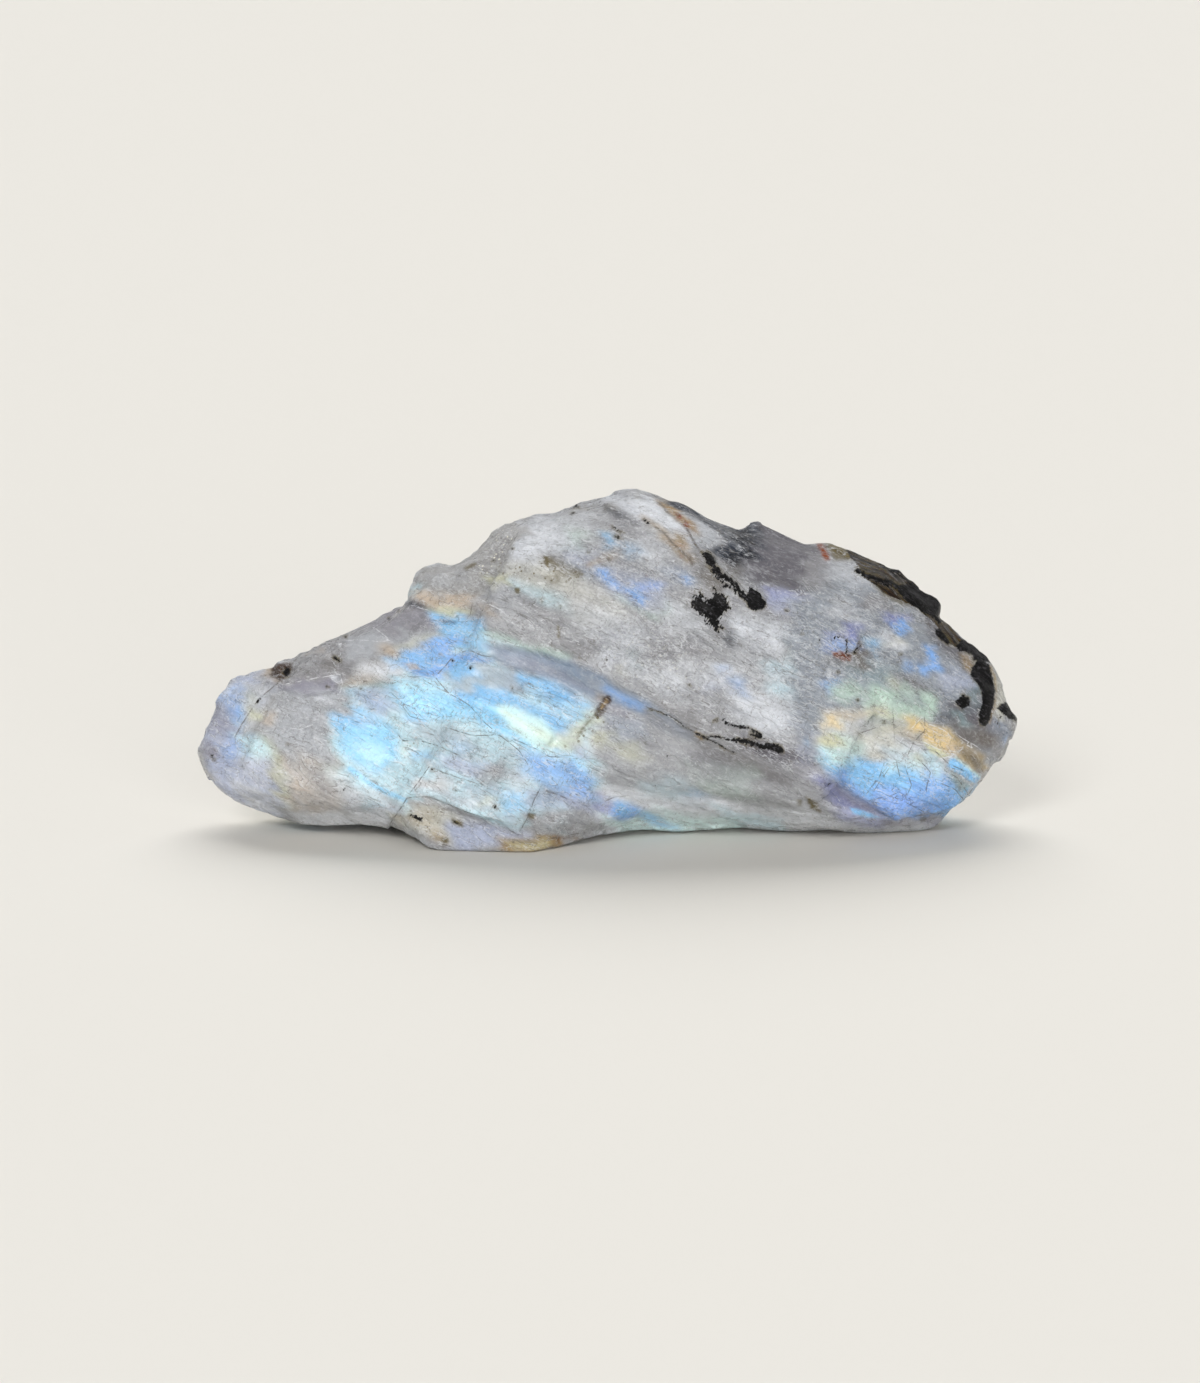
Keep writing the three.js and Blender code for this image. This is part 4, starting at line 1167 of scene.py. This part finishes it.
def ease_facets(mesh):
    """Softens the facets' edges, and least where the stone's outline is seen from the front."""
    edges = neighbours(mesh)
    set_places(mesh, eased(places(mesh), edges, EASING))
    outward = directions(mesh)[:, 1]
    behind = smoothstep(*BEHIND, to_bed(places(mesh))[:, 1])
    inner = np.maximum(smoothstep(*INSIDE, np.abs(outward)), behind)
    inner = eased(inner[:, None], edges, INSIDE_SPREAD)
    row = eased(places(mesh), edges, INNER_EASING, inner)
    creased = inner[:, 0] * (outward < 0) * union(CREASES, to_photo(to_bed(row)))
    set_places(mesh, eased(row, edges, CREASE_EASING, creased[:, None]))


def places(mesh):
    """Each vertex's place in the row frame, in mm."""
    flat = np.zeros(len(mesh.vertices) * 3)
    mesh.vertices.foreach_get("co", flat)
    return flat.reshape(-1, 3) / MM


def set_places(mesh, row):
    mesh.vertices.foreach_set("co", (row * MM).ravel())
    mesh.update()


def directions(mesh):
    """Each vertex's normal in the bedding frame."""
    flat = np.zeros(len(mesh.vertices) * 3)
    mesh.vertices.foreach_get("normal", flat)
    return flat.reshape(-1, 3) @ bed_axes().T


def neighbours(mesh):
    """The two vertices of each edge."""
    flat = np.zeros(len(mesh.edges) * 2, int)
    mesh.edges.foreach_get("vertices", flat)
    return flat.reshape(-1, 2)


def eased(values, edges, passes, weight=1.0):
    """Values on the vertices, drawn halfway to their neighbours' mean, times weight, in some passes."""
    values = np.array(values, float)
    count = np.bincount(edges.ravel(), minlength=len(values)).astype(float)
    for _ in range(passes):
        total = np.zeros_like(values)
        for axis in range(values.shape[1]):
            total[:, axis] = np.bincount(edges[:, 0], values[edges[:, 1], axis], len(values))
            total[:, axis] += np.bincount(edges[:, 1], values[edges[:, 0], axis], len(values))
        values += 0.5 * weight * (total / count[:, None] - values)
    return values


def union(areas, seen):
    """The strongest of the areas at each seen pixel."""
    strongest = np.zeros(len(seen))
    for strength, soft, form in areas:
        strongest = np.maximum(strongest, strength * cover(form, soft, seen))
    return strongest


def ledge_height(seen):
    """How far the ledges on the front raise the surface, in mm."""
    height = np.zeros(len(seen))
    for rise, reach, path in LEDGES:
        distance, side, beyond = nearest_on(path, seen)
        fade = np.exp(-((distance / reach) ** 2)) * smoothstep(LEDGE_END, 0.0, beyond)
        height -= rise * 0.5 * side * np.tanh(distance / LEDGE_FLANK) * fade
    return height


def nearest_line(lines, seen):
    """Each pixel's signed distance from the nearest line, over the line's half width, and its weight."""
    across = np.full(len(seen), FAR)
    weight = np.zeros(len(seen))
    nearest = np.full(len(seen), np.inf)
    for width, path in lines:
        distance, side, beyond = nearest_on(path, seen)
        nearer = distance < nearest
        nearest = np.where(nearer, distance, nearest)
        across = np.where(nearer, side * distance / (width / 2), across)
        strength = smoothstep(*MARK_REACH, distance) * smoothstep(MARK_END, 0.0, beyond)
        weight = np.where(nearer, strength, weight)
    return across, weight


def blend(colour, tint, amount):
    """Draws each colour towards a tint by its amount."""
    colour += amount[:, None] * (linear(TINTS[tint]) - colour)


def painted(colour, paints, seen, weight, mottles):
    """Lays the paints over the colours, each one thinned in places by one of the mottles."""
    for index, (tint, strength, soft, form) in enumerate(paints):
        amount = strength * cover(form, soft, seen) * mottles[index % len(mottles)]
        blend(colour, tint, weight * amount.clip(0, 1))
    return colour


def nearest_mineral(minerals, seen):
    """How far outside the nearest black mineral each seen pixel lies, in mm, and how ragged that one is."""
    nearest = np.full(len(seen), FAR)
    flaky = np.zeros(len(seen))
    for ragged, form in minerals:
        off = outside_by(form, seen)
        flaky = np.where(off < nearest, ragged, flaky)
        nearest = np.minimum(nearest, off)
    return nearest, flaky


def terraces(height, step):
    """The heights as flat treads with short steep risers between them."""
    tread = np.floor(height / step)
    return (tread + smoothstep(*RISER, height / step - tread)) * step


def put(mesh, name, *columns):
    """Stores three numbers for each vertex, where the material finds them by their name."""
    attribute = mesh.attributes.new(name, "FLOAT_VECTOR", "POINT")
    attribute.data.foreach_set("vector", np.stack(columns, axis=1).astype(np.float32).ravel())


def body_colour(grain, away):
    """Milky cloud over grey feldspar, with bands of flash, a painted sheen, where the surface faces away."""
    cloud = smoothstep(*CLOUDED, rough_noise(grain, *CLOUDS))[:, None]
    colour = linear(TINTS["grey"]) * (1 - cloud) + linear(TINTS["cloud"]) * cloud
    blend(colour, "peach", WARM_SHARE * smoothstep(*WARMED, rough_noise(grain, *WARMTH)))
    flash = rough_noise(grain, *FLASH) + BAND_SHARE * rough_noise(grain, *FLASH_BANDS)
    for tint, strength, start in BACK_FLASH:
        blend(colour, tint, strength * away * smoothstep(start, start + BACK_FLASH_EDGE, flash))
    return colour


def survey(mesh):
    """Where each vertex lies, and what the stone is like there."""
    at = SimpleNamespace()
    at.bed = to_bed(places(mesh))
    at.outward = eased(directions(mesh), neighbours(mesh), NORMAL_SPREAD)
    at.outward /= np.linalg.norm(at.outward, axis=1)[:, None]
    at.facing = smoothstep(*FRONT, at.outward[:, 1])
    at.grain = along_cleavage(at.bed)
    seen = to_photo(at.bed)
    wander = np.stack([rough_noise(at.grain, *each) for each in WANDER], axis=1)
    at.loose = seen + wander * LOOSE / PIXEL
    at.firm = seen + wander * FIRM / PIXEL
    along = np.array([math.cos(CLEAVAGE_SLOPE), -math.sin(CLEAVAGE_SLOPE)])
    at.streaked = at.loose + rough_noise(at.grain, *STREAKING)[:, None] * along * STREAKS / PIXEL
    back_frost = smoothstep(*BACK_FROSTED, rough_noise(at.grain, *BACK_FROST))
    at.frosted = at.facing * union(FROSTED, at.loose) + (1 - at.facing) * back_frost
    at.smooth = at.facing * union(SMOOTH, at.firm)
    survey_minerals(at)
    return at


def survey_minerals(at):
    """How far off the nearest black mineral is: one that runs right through, the front's or the back's."""
    front, front_ragged = nearest_mineral(FRONT_DARK, at.firm)
    front += OTHER_SIDE * (1 - at.facing)
    patches = BACK_MINERAL_SPAN * (BACK_MINERAL_FROM - rough_noise(at.grain, *BACK_MINERAL))
    back = OTHER_SIDE * at.facing + patches
    at.dark, at.flaky = nearest_mineral(THROUGH_DARK, at.firm)
    for dark, ragged in ((front, front_ragged), (back, BACK_MINERAL_RAGGED)):
        at.flaky = np.where(dark < at.dark, ragged, at.flaky)
        at.dark = np.minimum(dark, at.dark)


def raise_relief(mesh):
    """Raises the stone's fine relief."""
    at = survey(mesh)
    grain = at.grain
    calm = 1 - SMOOTHING * at.smooth
    height = calm * terraces(STEP_RANGE * rough_noise(grain, *STEPS), STEP_HEIGHT)
    height += calm * PLATE_HEIGHT * slabs(grain, *PLATES)
    height += calm * (CHIP_HEIGHT + FROSTED_CHIP_HEIGHT * at.frosted) * slabs(grain, *CHIPS)
    height += SWELL_HEIGHT * rough_noise(grain, *SWELLS)
    height += at.frosted * FROST_HEIGHT * noise(at.bed, *FROST)
    height += at.facing * ledge_height(at.firm)
    height += MINERAL_HEIGHT * smoothstep(*MINERAL_FLANK, at.dark)
    for deep, soft, form in HOLLOWS:
        height -= at.facing * deep * cover(form, soft, at.firm)
    row = places(mesh)
    height *= smoothstep(*FOOT, row[:, 2])
    row += (at.outward @ bed_axes()) * height[:, None]
    row[:, 2] = row[:, 2].clip(0)
    set_places(mesh, row)


def paint(mesh):
    """Stores on each vertex what the material draws with."""
    at = survey(mesh)
    grain, facing = at.grain, at.facing
    kept = [smoothstep(*MOTTLED, rough_noise(grain, *each)) for each in MOTTLES]
    mottles = [1 - MOTTLE_SHARE + MOTTLE_SHARE * each for each in kept]
    broad = [each for each in FRONT_PAINT if each[2] > FINE_EDGE]
    fine = [each for each in FRONT_PAINT if each[2] <= FINE_EDGE]
    colour = painted(body_colour(grain, 1 - facing), broad, at.streaked, facing, mottles)
    colour = painted(eased(colour, neighbours(mesh), BROAD_SPREAD), fine, at.firm, facing, mottles)
    colour = painted(colour, RIGHT_EDGE, at.firm, np.ones(len(grain)), mottles)
    crack, crack_weight = nearest_line(CRACKS, at.firm)
    seam, seam_weight = nearest_line(HIGHLIGHT_LINES, at.firm)
    off, side, _ = nearest_on(pixels(STRATA_LINE), at.firm)
    strata = cover(STRATA_AREA, STRATA_EDGE, at.loose)
    put(mesh, "tint", *(colour / FRONT_LIGHT).T)
    put(mesh, "grain", *grain.T)
    put(mesh, "drawn", crack, seam, off * side)
    put(mesh, "drawn_weight", crack_weight * facing, seam_weight * facing, strata)
    put(mesh, "surface", at.frosted, at.smooth, facing * union(SPECKLED, at.loose))
    put(mesh, "mineral", at.dark, at.flaky, facing * union(GLINT_AREAS, at.loose))
    mesh.shade_smooth()


# ---------------------------------------------------------------- the stone's material

# Cells: how many there are in a mm along, back and across the cleavage.
PLATE_CELLS, CHIP_CELLS, CRUMB_CELLS = (0.40, 0.45, 1.0), (1.1, 1.2, 2.2), (2.8, 2.8, 3.6)
SPOT_CELLS = (2.6, 2.6, 2.6)

# Noises: how many bumps they have in a mm, and their detail.
CLOUDY = ((0.5, 0.6, 0.9), 3.0)
FINE = (4.5, 3.0)
CLIMB = ((0.10, 0.15, 0.38), 4.0)
STEP_PATCHES = (0.7, 2.0)
WEAR = (1.6, 2.0)
CURLING, BREAKING, ELSEWHERE = (1.0, 2.0), (0.8, 1.0), (7.3, 1.9, 4.1)  # for the hairlines
FIBRES = ((4.2, 2.5, 2.0), 4.0)
RIM_NOISE = (6.0, 3.0)
GLEAM = ((3.2, 3.2, 6.4), 2.0)
WISPS, WISP_LOOK = (0.9, 0.9, 1.5), {"Detail": 5.0, "Roughness": 0.62, "Distortion": 1.6}
STRATA, STRATA_ACROSS, STRATA_DETAIL = (0.22, 0.3, 0.22), 4.6, 3.0

# Hairlines: their bumps in a mm, their width, the share that shows, how strong they are, and their tint. The
# white ones are fracture edges and scratches with a painted highlight along them.
CRINKLES = ((1.7, 1.7, 2.4), 0.026, 0.9, 0.38, "white")
CURLS = ((0.8, 0.9, 2.0), 0.030, 0.5, 0.35, "white")
CREASED = ((0.35, 0.5, 1.6), 0.014, 0.4, 0.45, "umber")
SCRATCHES_AND_HIGHLIGHTS = ((0.7, 0.9, 3.2), 0.016, 0.7, 0.40, "white")
SPLITS = ((2.4, 1.4, 0.9), 0.016, 0.8, 0.45, "umber")

# How far each texture lightens or darkens the stone. A pair is for plain stone, and what frost adds.
PLATE_TONE, CHIP_TONE, CLOUDY_TONE = 0.12, 0.10, 0.45
CRUMB_TONE, FINE_TONE = (0.02, 0.14), (0.42, 0.20)
WISP_WHITE, WISP_MAUVE = (0.20, 0.45), (0.0, 0.40)
SMOOTHNESS = 0.75  # how much of its texture smooth cleavage lacks

# Small cleavage steps: how many a bump of CLIMB makes, where on a step its riser lies, and how strong the
# painted highlight line above the riser and the painted shade line below are.
STEP_COUNT, STEP_RISER = 15.0, (0.44, 0.56)
LIT_AT, LIT_EDGE, LIT_STRENGTH = 0.56, (0.09, 0.02), 0.40
SHADED_AT, SHADED_EDGE, SHADED_STRENGTH = 0.42, (0.08, 0.02), 0.38

# How strong the marks, the stains and the painted gleam on the black mineral are, and the sizes of the
# painted glints and the specks.
MARK_STRENGTH, STAIN_STRENGTH, GLEAM_STRENGTH = 0.7, 0.6, 0.35
GLINT_SIZE, SPECK_SIZE, SPECK_STRENGTH = 0.30, 0.36, 0.8
FIBRE_MIDDLE, TORN, UNEVEN, STRATA_UNEVEN = 0.47, 2.0, 0.30, 0.8

# Where each of these begins and where it is whole, on its noise, or in mm or half widths from its line.
WHITE_WISPS, MAUVE_WISPS = (0.48, 0.74), (0.50, 0.30)
STEPS_SHOWN, WORN, STAINED, GLEAMING = (0.44, 0.60), (0.40, 0.56), (0.40, 0.60), (0.56, 0.64)
MARK_RIM, STRATA_RIM, STAIN_RIM, BLACK_RIM = (1.6, 0.5), (0.4, 0.6), (0.30, 0.0), (0.06, -0.05)
HAIRLINES_FROM, HAIRLINES_SPAN, HAIRLINES_RIM, HAIRLINES_CORE = 0.62, 0.24, 0.06, 0.3
STRATA_STOPS = ((0.36, "ink"), (0.42, "brown"), (0.445, "olive"), (0.465, "ink"), (0.50, "umber"),
                (0.515, "ink"), (0.54, "brown"), (0.555, "stone"), (0.575, "ink"))

ROUGHNESS = (0.30, 0.20)
SMOOTH_ROUGHNESS, CHIP_ROUGHNESS, BLACK_ROUGHNESS = -0.08, 0.16, 0.15

# The heights of the finest relief, in mm.
PLATE_RELIEF, CHIP_RELIEF, CRUMB_RELIEF, CLOUDY_RELIEF = 0.24, 0.10, (0.01, 0.06), 0.03
CURL_RELIEF, STEP_RELIEF, CREASE_RELIEF = 0.02, 0.05, -0.02
FINE_RELIEF, CRINKLE_RELIEF = (0.006, 0.03), (0.0, 0.02)
CRACK_RELIEF, BLACK_RELIEF, STRATA_RELIEF = -0.04, 0.06, 0.15

GLOW, GLOW_DEPTH = 0.25, 0.3  # the glow from under the surface: its share, and how deep it goes in mm
IOR, MIRRORING = 1.53, 0.24


class Graph:
    """A material's node tree, with short ways to add its nodes."""

    def __init__(self, material):
        self.tree = material.node_tree

    def add(self, kind, settings=None, **inputs):
        """A new node. Each input is a number, or the output that it is linked to."""
        made = self.tree.nodes.new("ShaderNode" + kind)
        for name, value in (settings or {}).items():
            setattr(made, name, value)
        for name, value in inputs.items():
            self.feed(made.inputs[name], value)
        return made

    def feed(self, socket, value):
        if isinstance(value, bpy.types.NodeSocket):
            self.tree.links.new(value, socket)
        else:
            socket.default_value = value

    def run(self, kind, operation, *values):
        """A Math or VectorMath node on the values."""
        made = self.add(kind, {"operation": operation})
        for socket, value in zip(made.inputs, values):
            self.feed(socket, value)
        return made.outputs

    def chain(self, operation, values):
        total = values[0]
        for value in values[1:]:
            total = self.run("Math", operation, total, value)[0]
        return total

    def plus(self, *values):
        return self.chain("ADD", values)

    def minus(self, *values):
        return self.chain("SUBTRACT", values)

    def times(self, *values):
        return self.chain("MULTIPLY", values)

    def size(self, value):
        return self.run("Math", "ABSOLUTE", value)[0]

    def below(self, value, limit):
        return self.run("Math", "LESS_THAN", value, limit)[0]

    def ramp(self, value, low, high):
        """0 up to low and 1 from high on, with an eased step between them."""
        made = self.add("MapRange", {"interpolation_type": "SMOOTHSTEP"}, Value=value)
        made.inputs["From Min"].default_value = low
        made.inputs["From Max"].default_value = high
        return made.outputs["Result"]

    def stretched(self, vector, scale):
        return self.run("VectorMath", "MULTIPLY", vector, scale)[0]

    def mix(self, factor, a, b):
        made = self.add("Mix", {"data_type": "RGBA"}, Factor=factor)
        self.feed(made.inputs[6], a)
        self.feed(made.inputs[7], b)
        return made.outputs[2]

    def noise(self, vector, scale, detail):
        """Noise with so many bumps in one unit, or in one unit of each axis."""
        if isinstance(scale, tuple):
            vector, scale = self.stretched(vector, scale), 1.0
        return self.add("TexNoise", Vector=vector, Scale=scale, Detail=detail).outputs["Fac"]

    def cells(self, vector):
        return self.add("TexVoronoi", {"feature": "F1"}, Vector=vector, Scale=1.0).outputs

    def split(self, name):
        """The three numbers of a vector that put() stored under a name."""
        return self.add("SeparateXYZ", Vector=self.attribute(name)).outputs

    def attribute(self, name):
        return self.add("Attribute", {"attribute_name": name}).outputs["Vector"]


def tinted(name):
    return (*(linear(TINTS[name]) / FRONT_LIGHT), 1)


def facets(graph, vector):
    """A mosaic of tilted facets, one unit wide: its height, and a number from -0.5 to 0.5 for each facet."""
    cells = graph.cells(vector)
    off = graph.run("VectorMath", "SUBTRACT", vector, cells["Position"])[0]
    lean = graph.run("VectorMath", "SUBTRACT", cells["Color"], (0.5, 0.5, 0.5))[0]
    tilt = graph.run("VectorMath", "DOT_PRODUCT", off, lean)["Value"]
    random = graph.add("SeparateColor", Color=cells["Color"]).outputs["Red"]
    return tilt, graph.minus(random, 0.5)


def hairlines(graph, grain, scale, width, share):
    """Thin broken lines that curl across the surface; share is how much of them shows, from 0 to 1."""
    vector = graph.stretched(grain, scale)
    off = graph.size(graph.minus(graph.noise(vector, *CURLING), 0.5))
    elsewhere = graph.add("Mapping", Vector=vector, Location=ELSEWHERE).outputs[0]
    start = HAIRLINES_FROM - HAIRLINES_SPAN * share
    broken = graph.ramp(graph.noise(elsewhere, *BREAKING), start, start + HAIRLINES_RIM)
    return graph.times(graph.ramp(off, width, HAIRLINES_CORE * width), broken)


def frosty(graph, at, pair):
    """The first of the pair, plus the second where there is frost."""
    plain, frost = pair
    return graph.plus(plain, graph.times(at.frosted, frost))


def stored(graph):
    """What paint() stored on the mesh."""
    at = SimpleNamespace(grain=graph.attribute("grain"), tint=graph.attribute("tint"))
    at.frosted, at.smooth, at.speckled = graph.split("surface")
    at.dark, at.flaky, at.sparkling = graph.split("mineral")
    at.crack_off, at.seam_off, at.strata_off = graph.split("drawn")
    at.crack_weight, at.seam_weight, at.strata_weight = graph.split("drawn_weight")
    return at


def add_textures(graph, at):
    """The textures that the colour, the roughness and the relief share."""
    at.plate, at.plate_tone = facets(graph, graph.stretched(at.grain, PLATE_CELLS))
    at.chip, at.chip_tone = facets(graph, graph.stretched(at.grain, CHIP_CELLS))
    at.crumb, at.crumb_tone = facets(graph, graph.stretched(at.grain, CRUMB_CELLS))
    at.cloudy = graph.noise(at.grain, *CLOUDY)
    at.fine = graph.noise(at.grain, *FINE)
    at.texture = graph.minus(1.0, graph.times(at.smooth, SMOOTHNESS))


def milky(graph, at):
    """The painted tint, lighter and darker by the textures, with white wisps and frost in it."""
    times, plus, minus = graph.times, graph.plus, graph.minus
    lighten = plus(times(at.plate_tone, PLATE_TONE), times(at.chip_tone, CHIP_TONE))
    lighten = plus(lighten, times(at.crumb_tone, frosty(graph, at, CRUMB_TONE)))
    lighten = plus(lighten, times(minus(at.cloudy, 0.5), CLOUDY_TONE))
    lighten = plus(lighten, times(minus(at.fine, 0.5), frosty(graph, at, FINE_TONE)))
    scaled = graph.add("VectorMath", {"operation": "SCALE"}, Scale=plus(1.0, times(lighten, at.texture)))
    graph.feed(scaled.inputs[0], at.tint)
    place = graph.stretched(at.grain, WISPS)
    wisps = graph.add("TexNoise", Vector=place, Scale=1.0, **WISP_LOOK).outputs["Fac"]
    white = times(graph.ramp(wisps, *WHITE_WISPS), frosty(graph, at, WISP_WHITE))
    mauve = times(graph.ramp(wisps, *MAUVE_WISPS), frosty(graph, at, WISP_MAUVE))
    colour = graph.mix(white, scaled.outputs[0], tinted("white"))
    return graph.mix(mauve, colour, tinted("mauve"))


def with_steps(graph, at, colour):
    """Small cleavage steps: a painted highlight along the edge of each, and a painted shade line at its foot.
    """
    times, minus = graph.times, graph.minus
    climb = times(graph.noise(at.grain, *CLIMB), STEP_COUNT)
    part = graph.run("Math", "FRACT", climb)[0]
    at.tread = graph.plus(minus(climb, part), graph.ramp(part, *STEP_RISER))
    shown = times(graph.ramp(graph.noise(at.grain, *STEP_PATCHES), *STEPS_SHOWN), at.texture)
    lit = graph.ramp(graph.size(minus(part, LIT_AT)), *LIT_EDGE)
    shaded = graph.ramp(graph.size(minus(part, SHADED_AT)), *SHADED_EDGE)
    colour = graph.mix(times(lit, shown, LIT_STRENGTH), colour, tinted("white"))
    return graph.mix(times(shaded, shown, SHADED_STRENGTH), colour, tinted("umber"))


def with_hairlines(graph, at, colour, kind, where):
    """The colour with one kind of hairlines over it, and these hairlines."""
    scale, width, share, strength, tint = kind
    lines = hairlines(graph, at.grain, scale, width, share)
    return graph.mix(graph.times(lines, strength, where), colour, tinted(tint)), lines


def with_marks(graph, at, colour):
    """The drawn cracks and the painted highlight lines, worn away in places."""
    worn = graph.ramp(graph.noise(at.grain, *WEAR), *WORN)
    at.crack = graph.times(graph.ramp(graph.size(at.crack_off), *MARK_RIM), at.crack_weight)
    seam = graph.times(graph.ramp(graph.size(at.seam_off), *MARK_RIM), at.seam_weight)
    colour = graph.mix(graph.times(at.crack, MARK_STRENGTH, worn), colour, tinted("umber"))
    return graph.mix(graph.times(seam, MARK_STRENGTH, worn), colour, tinted("white"))


def with_specks(graph, at, colour):
    """Painted glints and olive specks, each in the middle of a cell."""
    spots = graph.cells(graph.stretched(at.grain, SPOT_CELLS))
    random = graph.add("SeparateColor", Color=spots["Color"]).outputs
    painted_glints = graph.below(spots["Distance"], graph.times(random["Blue"], GLINT_SIZE))
    specks = graph.below(spots["Distance"], graph.times(random["Green"], SPECK_SIZE))
    colour = graph.mix(graph.times(painted_glints, at.sparkling), colour, tinted("spark"))
    return graph.mix(graph.times(specks, at.speckled, SPECK_STRENGTH), colour, tinted("olive"))


def with_strata(graph, at, colour):
    """Thin stained layers, coloured by the distance across them."""
    across = graph.add("CombineXYZ", Z=graph.times(at.strata_off, STRATA_ACROSS)).outputs[0]
    place = graph.run("VectorMath", "ADD", graph.stretched(at.grain, STRATA), across)[0]
    ramp = graph.add("ValToRGB", Fac=graph.noise(place, 1.0, STRATA_DETAIL))
    elements = ramp.color_ramp.elements
    while len(elements) < len(STRATA_STOPS):
        elements.new(1.0)
    for element, (position, name) in zip(elements, STRATA_STOPS):
        element.position = position
        element.color = tinted(name)
    uneven = graph.times(graph.minus(at.fine, 0.5), STRATA_UNEVEN)
    at.layered = graph.ramp(graph.plus(at.strata_weight, uneven), *STRATA_RIM)
    at.layers = ramp.outputs["Color"]
    return graph.mix(at.layered, colour, at.layers)


def with_black(graph, at, colour):
    """The black mineral: torn by fibres where it is ragged, stained olive around, and with a painted gleam in
    places.
    """
    times, plus, minus = graph.times, graph.plus, graph.minus
    torn = times(minus(graph.noise(at.grain, *FIBRES), FIBRE_MIDDLE), TORN, at.flaky)
    uneven = times(minus(graph.noise(at.grain, *RIM_NOISE), 0.5), UNEVEN)
    off = plus(at.dark, plus(torn, uneven))
    stain = times(graph.ramp(off, *STAIN_RIM), graph.ramp(at.cloudy, *STAINED))
    colour = graph.mix(times(stain, STAIN_STRENGTH), colour, tinted("olive"))
    at.black = graph.ramp(off, *BLACK_RIM)
    gleam = graph.ramp(graph.noise(at.grain, *GLEAM), *GLEAMING)
    ink = graph.mix(times(gleam, GLEAM_STRENGTH), tinted("ink"), tinted("smoke"))
    return graph.mix(at.black, colour, ink)


def base_colour(graph, at):
    colour, at.crinkles = with_hairlines(graph, at, milky(graph, at), CRINKLES, at.frosted)
    colour = with_steps(graph, at, colour)
    colour, at.curls = with_hairlines(graph, at, colour, CURLS, at.texture)
    colour, at.creases = with_hairlines(graph, at, colour, CREASED, at.texture)
    for kind in (SCRATCHES_AND_HIGHLIGHTS, SPLITS):
        colour, _ = with_hairlines(graph, at, colour, kind, at.texture)
    for put_on in (with_marks, with_specks, with_strata, with_black):
        colour = put_on(graph, at, colour)
    return colour


def roughness(graph, at):
    parts = ((at.smooth, SMOOTH_ROUGHNESS), (at.chip_tone, CHIP_ROUGHNESS), (at.black, BLACK_ROUGHNESS))
    return graph.plus(frosty(graph, at, ROUGHNESS), *(graph.times(*part) for part in parts))


def fine_relief(graph, at):
    """The height of what is finer than the mesh, in mm."""
    times, plus = graph.times, graph.plus
    height = plus(times(at.plate, PLATE_RELIEF), times(at.chip, CHIP_RELIEF),
                  times(at.crumb, frosty(graph, at, CRUMB_RELIEF)), times(at.cloudy, CLOUDY_RELIEF),
                  times(at.curls, CURL_RELIEF), times(at.tread, STEP_RELIEF),
                  times(at.creases, CREASE_RELIEF))
    red = graph.add("SeparateColor", Color=at.layers).outputs["Red"]
    return plus(times(height, at.texture), times(at.fine, frosty(graph, at, FINE_RELIEF)),
                times(at.crinkles, frosty(graph, at, CRINKLE_RELIEF)), times(at.crack, CRACK_RELIEF),
                times(at.black, at.crumb, BLACK_RELIEF), times(at.layered, red, STRATA_RELIEF))


def feldspar():
    material, shader = plain_material("flashing_feldspar")
    graph = Graph(material)
    at = stored(graph)
    add_textures(graph, at)
    graph.feed(shader.inputs["Base Color"], base_colour(graph, at))
    graph.feed(shader.inputs["Roughness"], roughness(graph, at))
    bump = graph.add("Bump", Strength=1.0, Distance=MM, Height=fine_relief(graph, at))
    graph.feed(shader.inputs["Normal"], bump.outputs["Normal"])
    graph.feed(shader.inputs["Subsurface Weight"], graph.times(graph.minus(1.0, at.black), GLOW))
    shader.inputs["Subsurface Radius"].default_value = (1.0, 1.0, 1.0)
    shader.inputs["Subsurface Scale"].default_value = GLOW_DEPTH * MM
    shader.inputs["IOR"].default_value = IOR
    shader.inputs["Specular IOR Level"].default_value = MIRRORING
    return material


stone = fine_copy(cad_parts["moonstone"])
paint(stone.data)
stone.data.materials.clear()
stone.data.materials.append(feldspar())
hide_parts("moonstone")
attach(stone, "root")
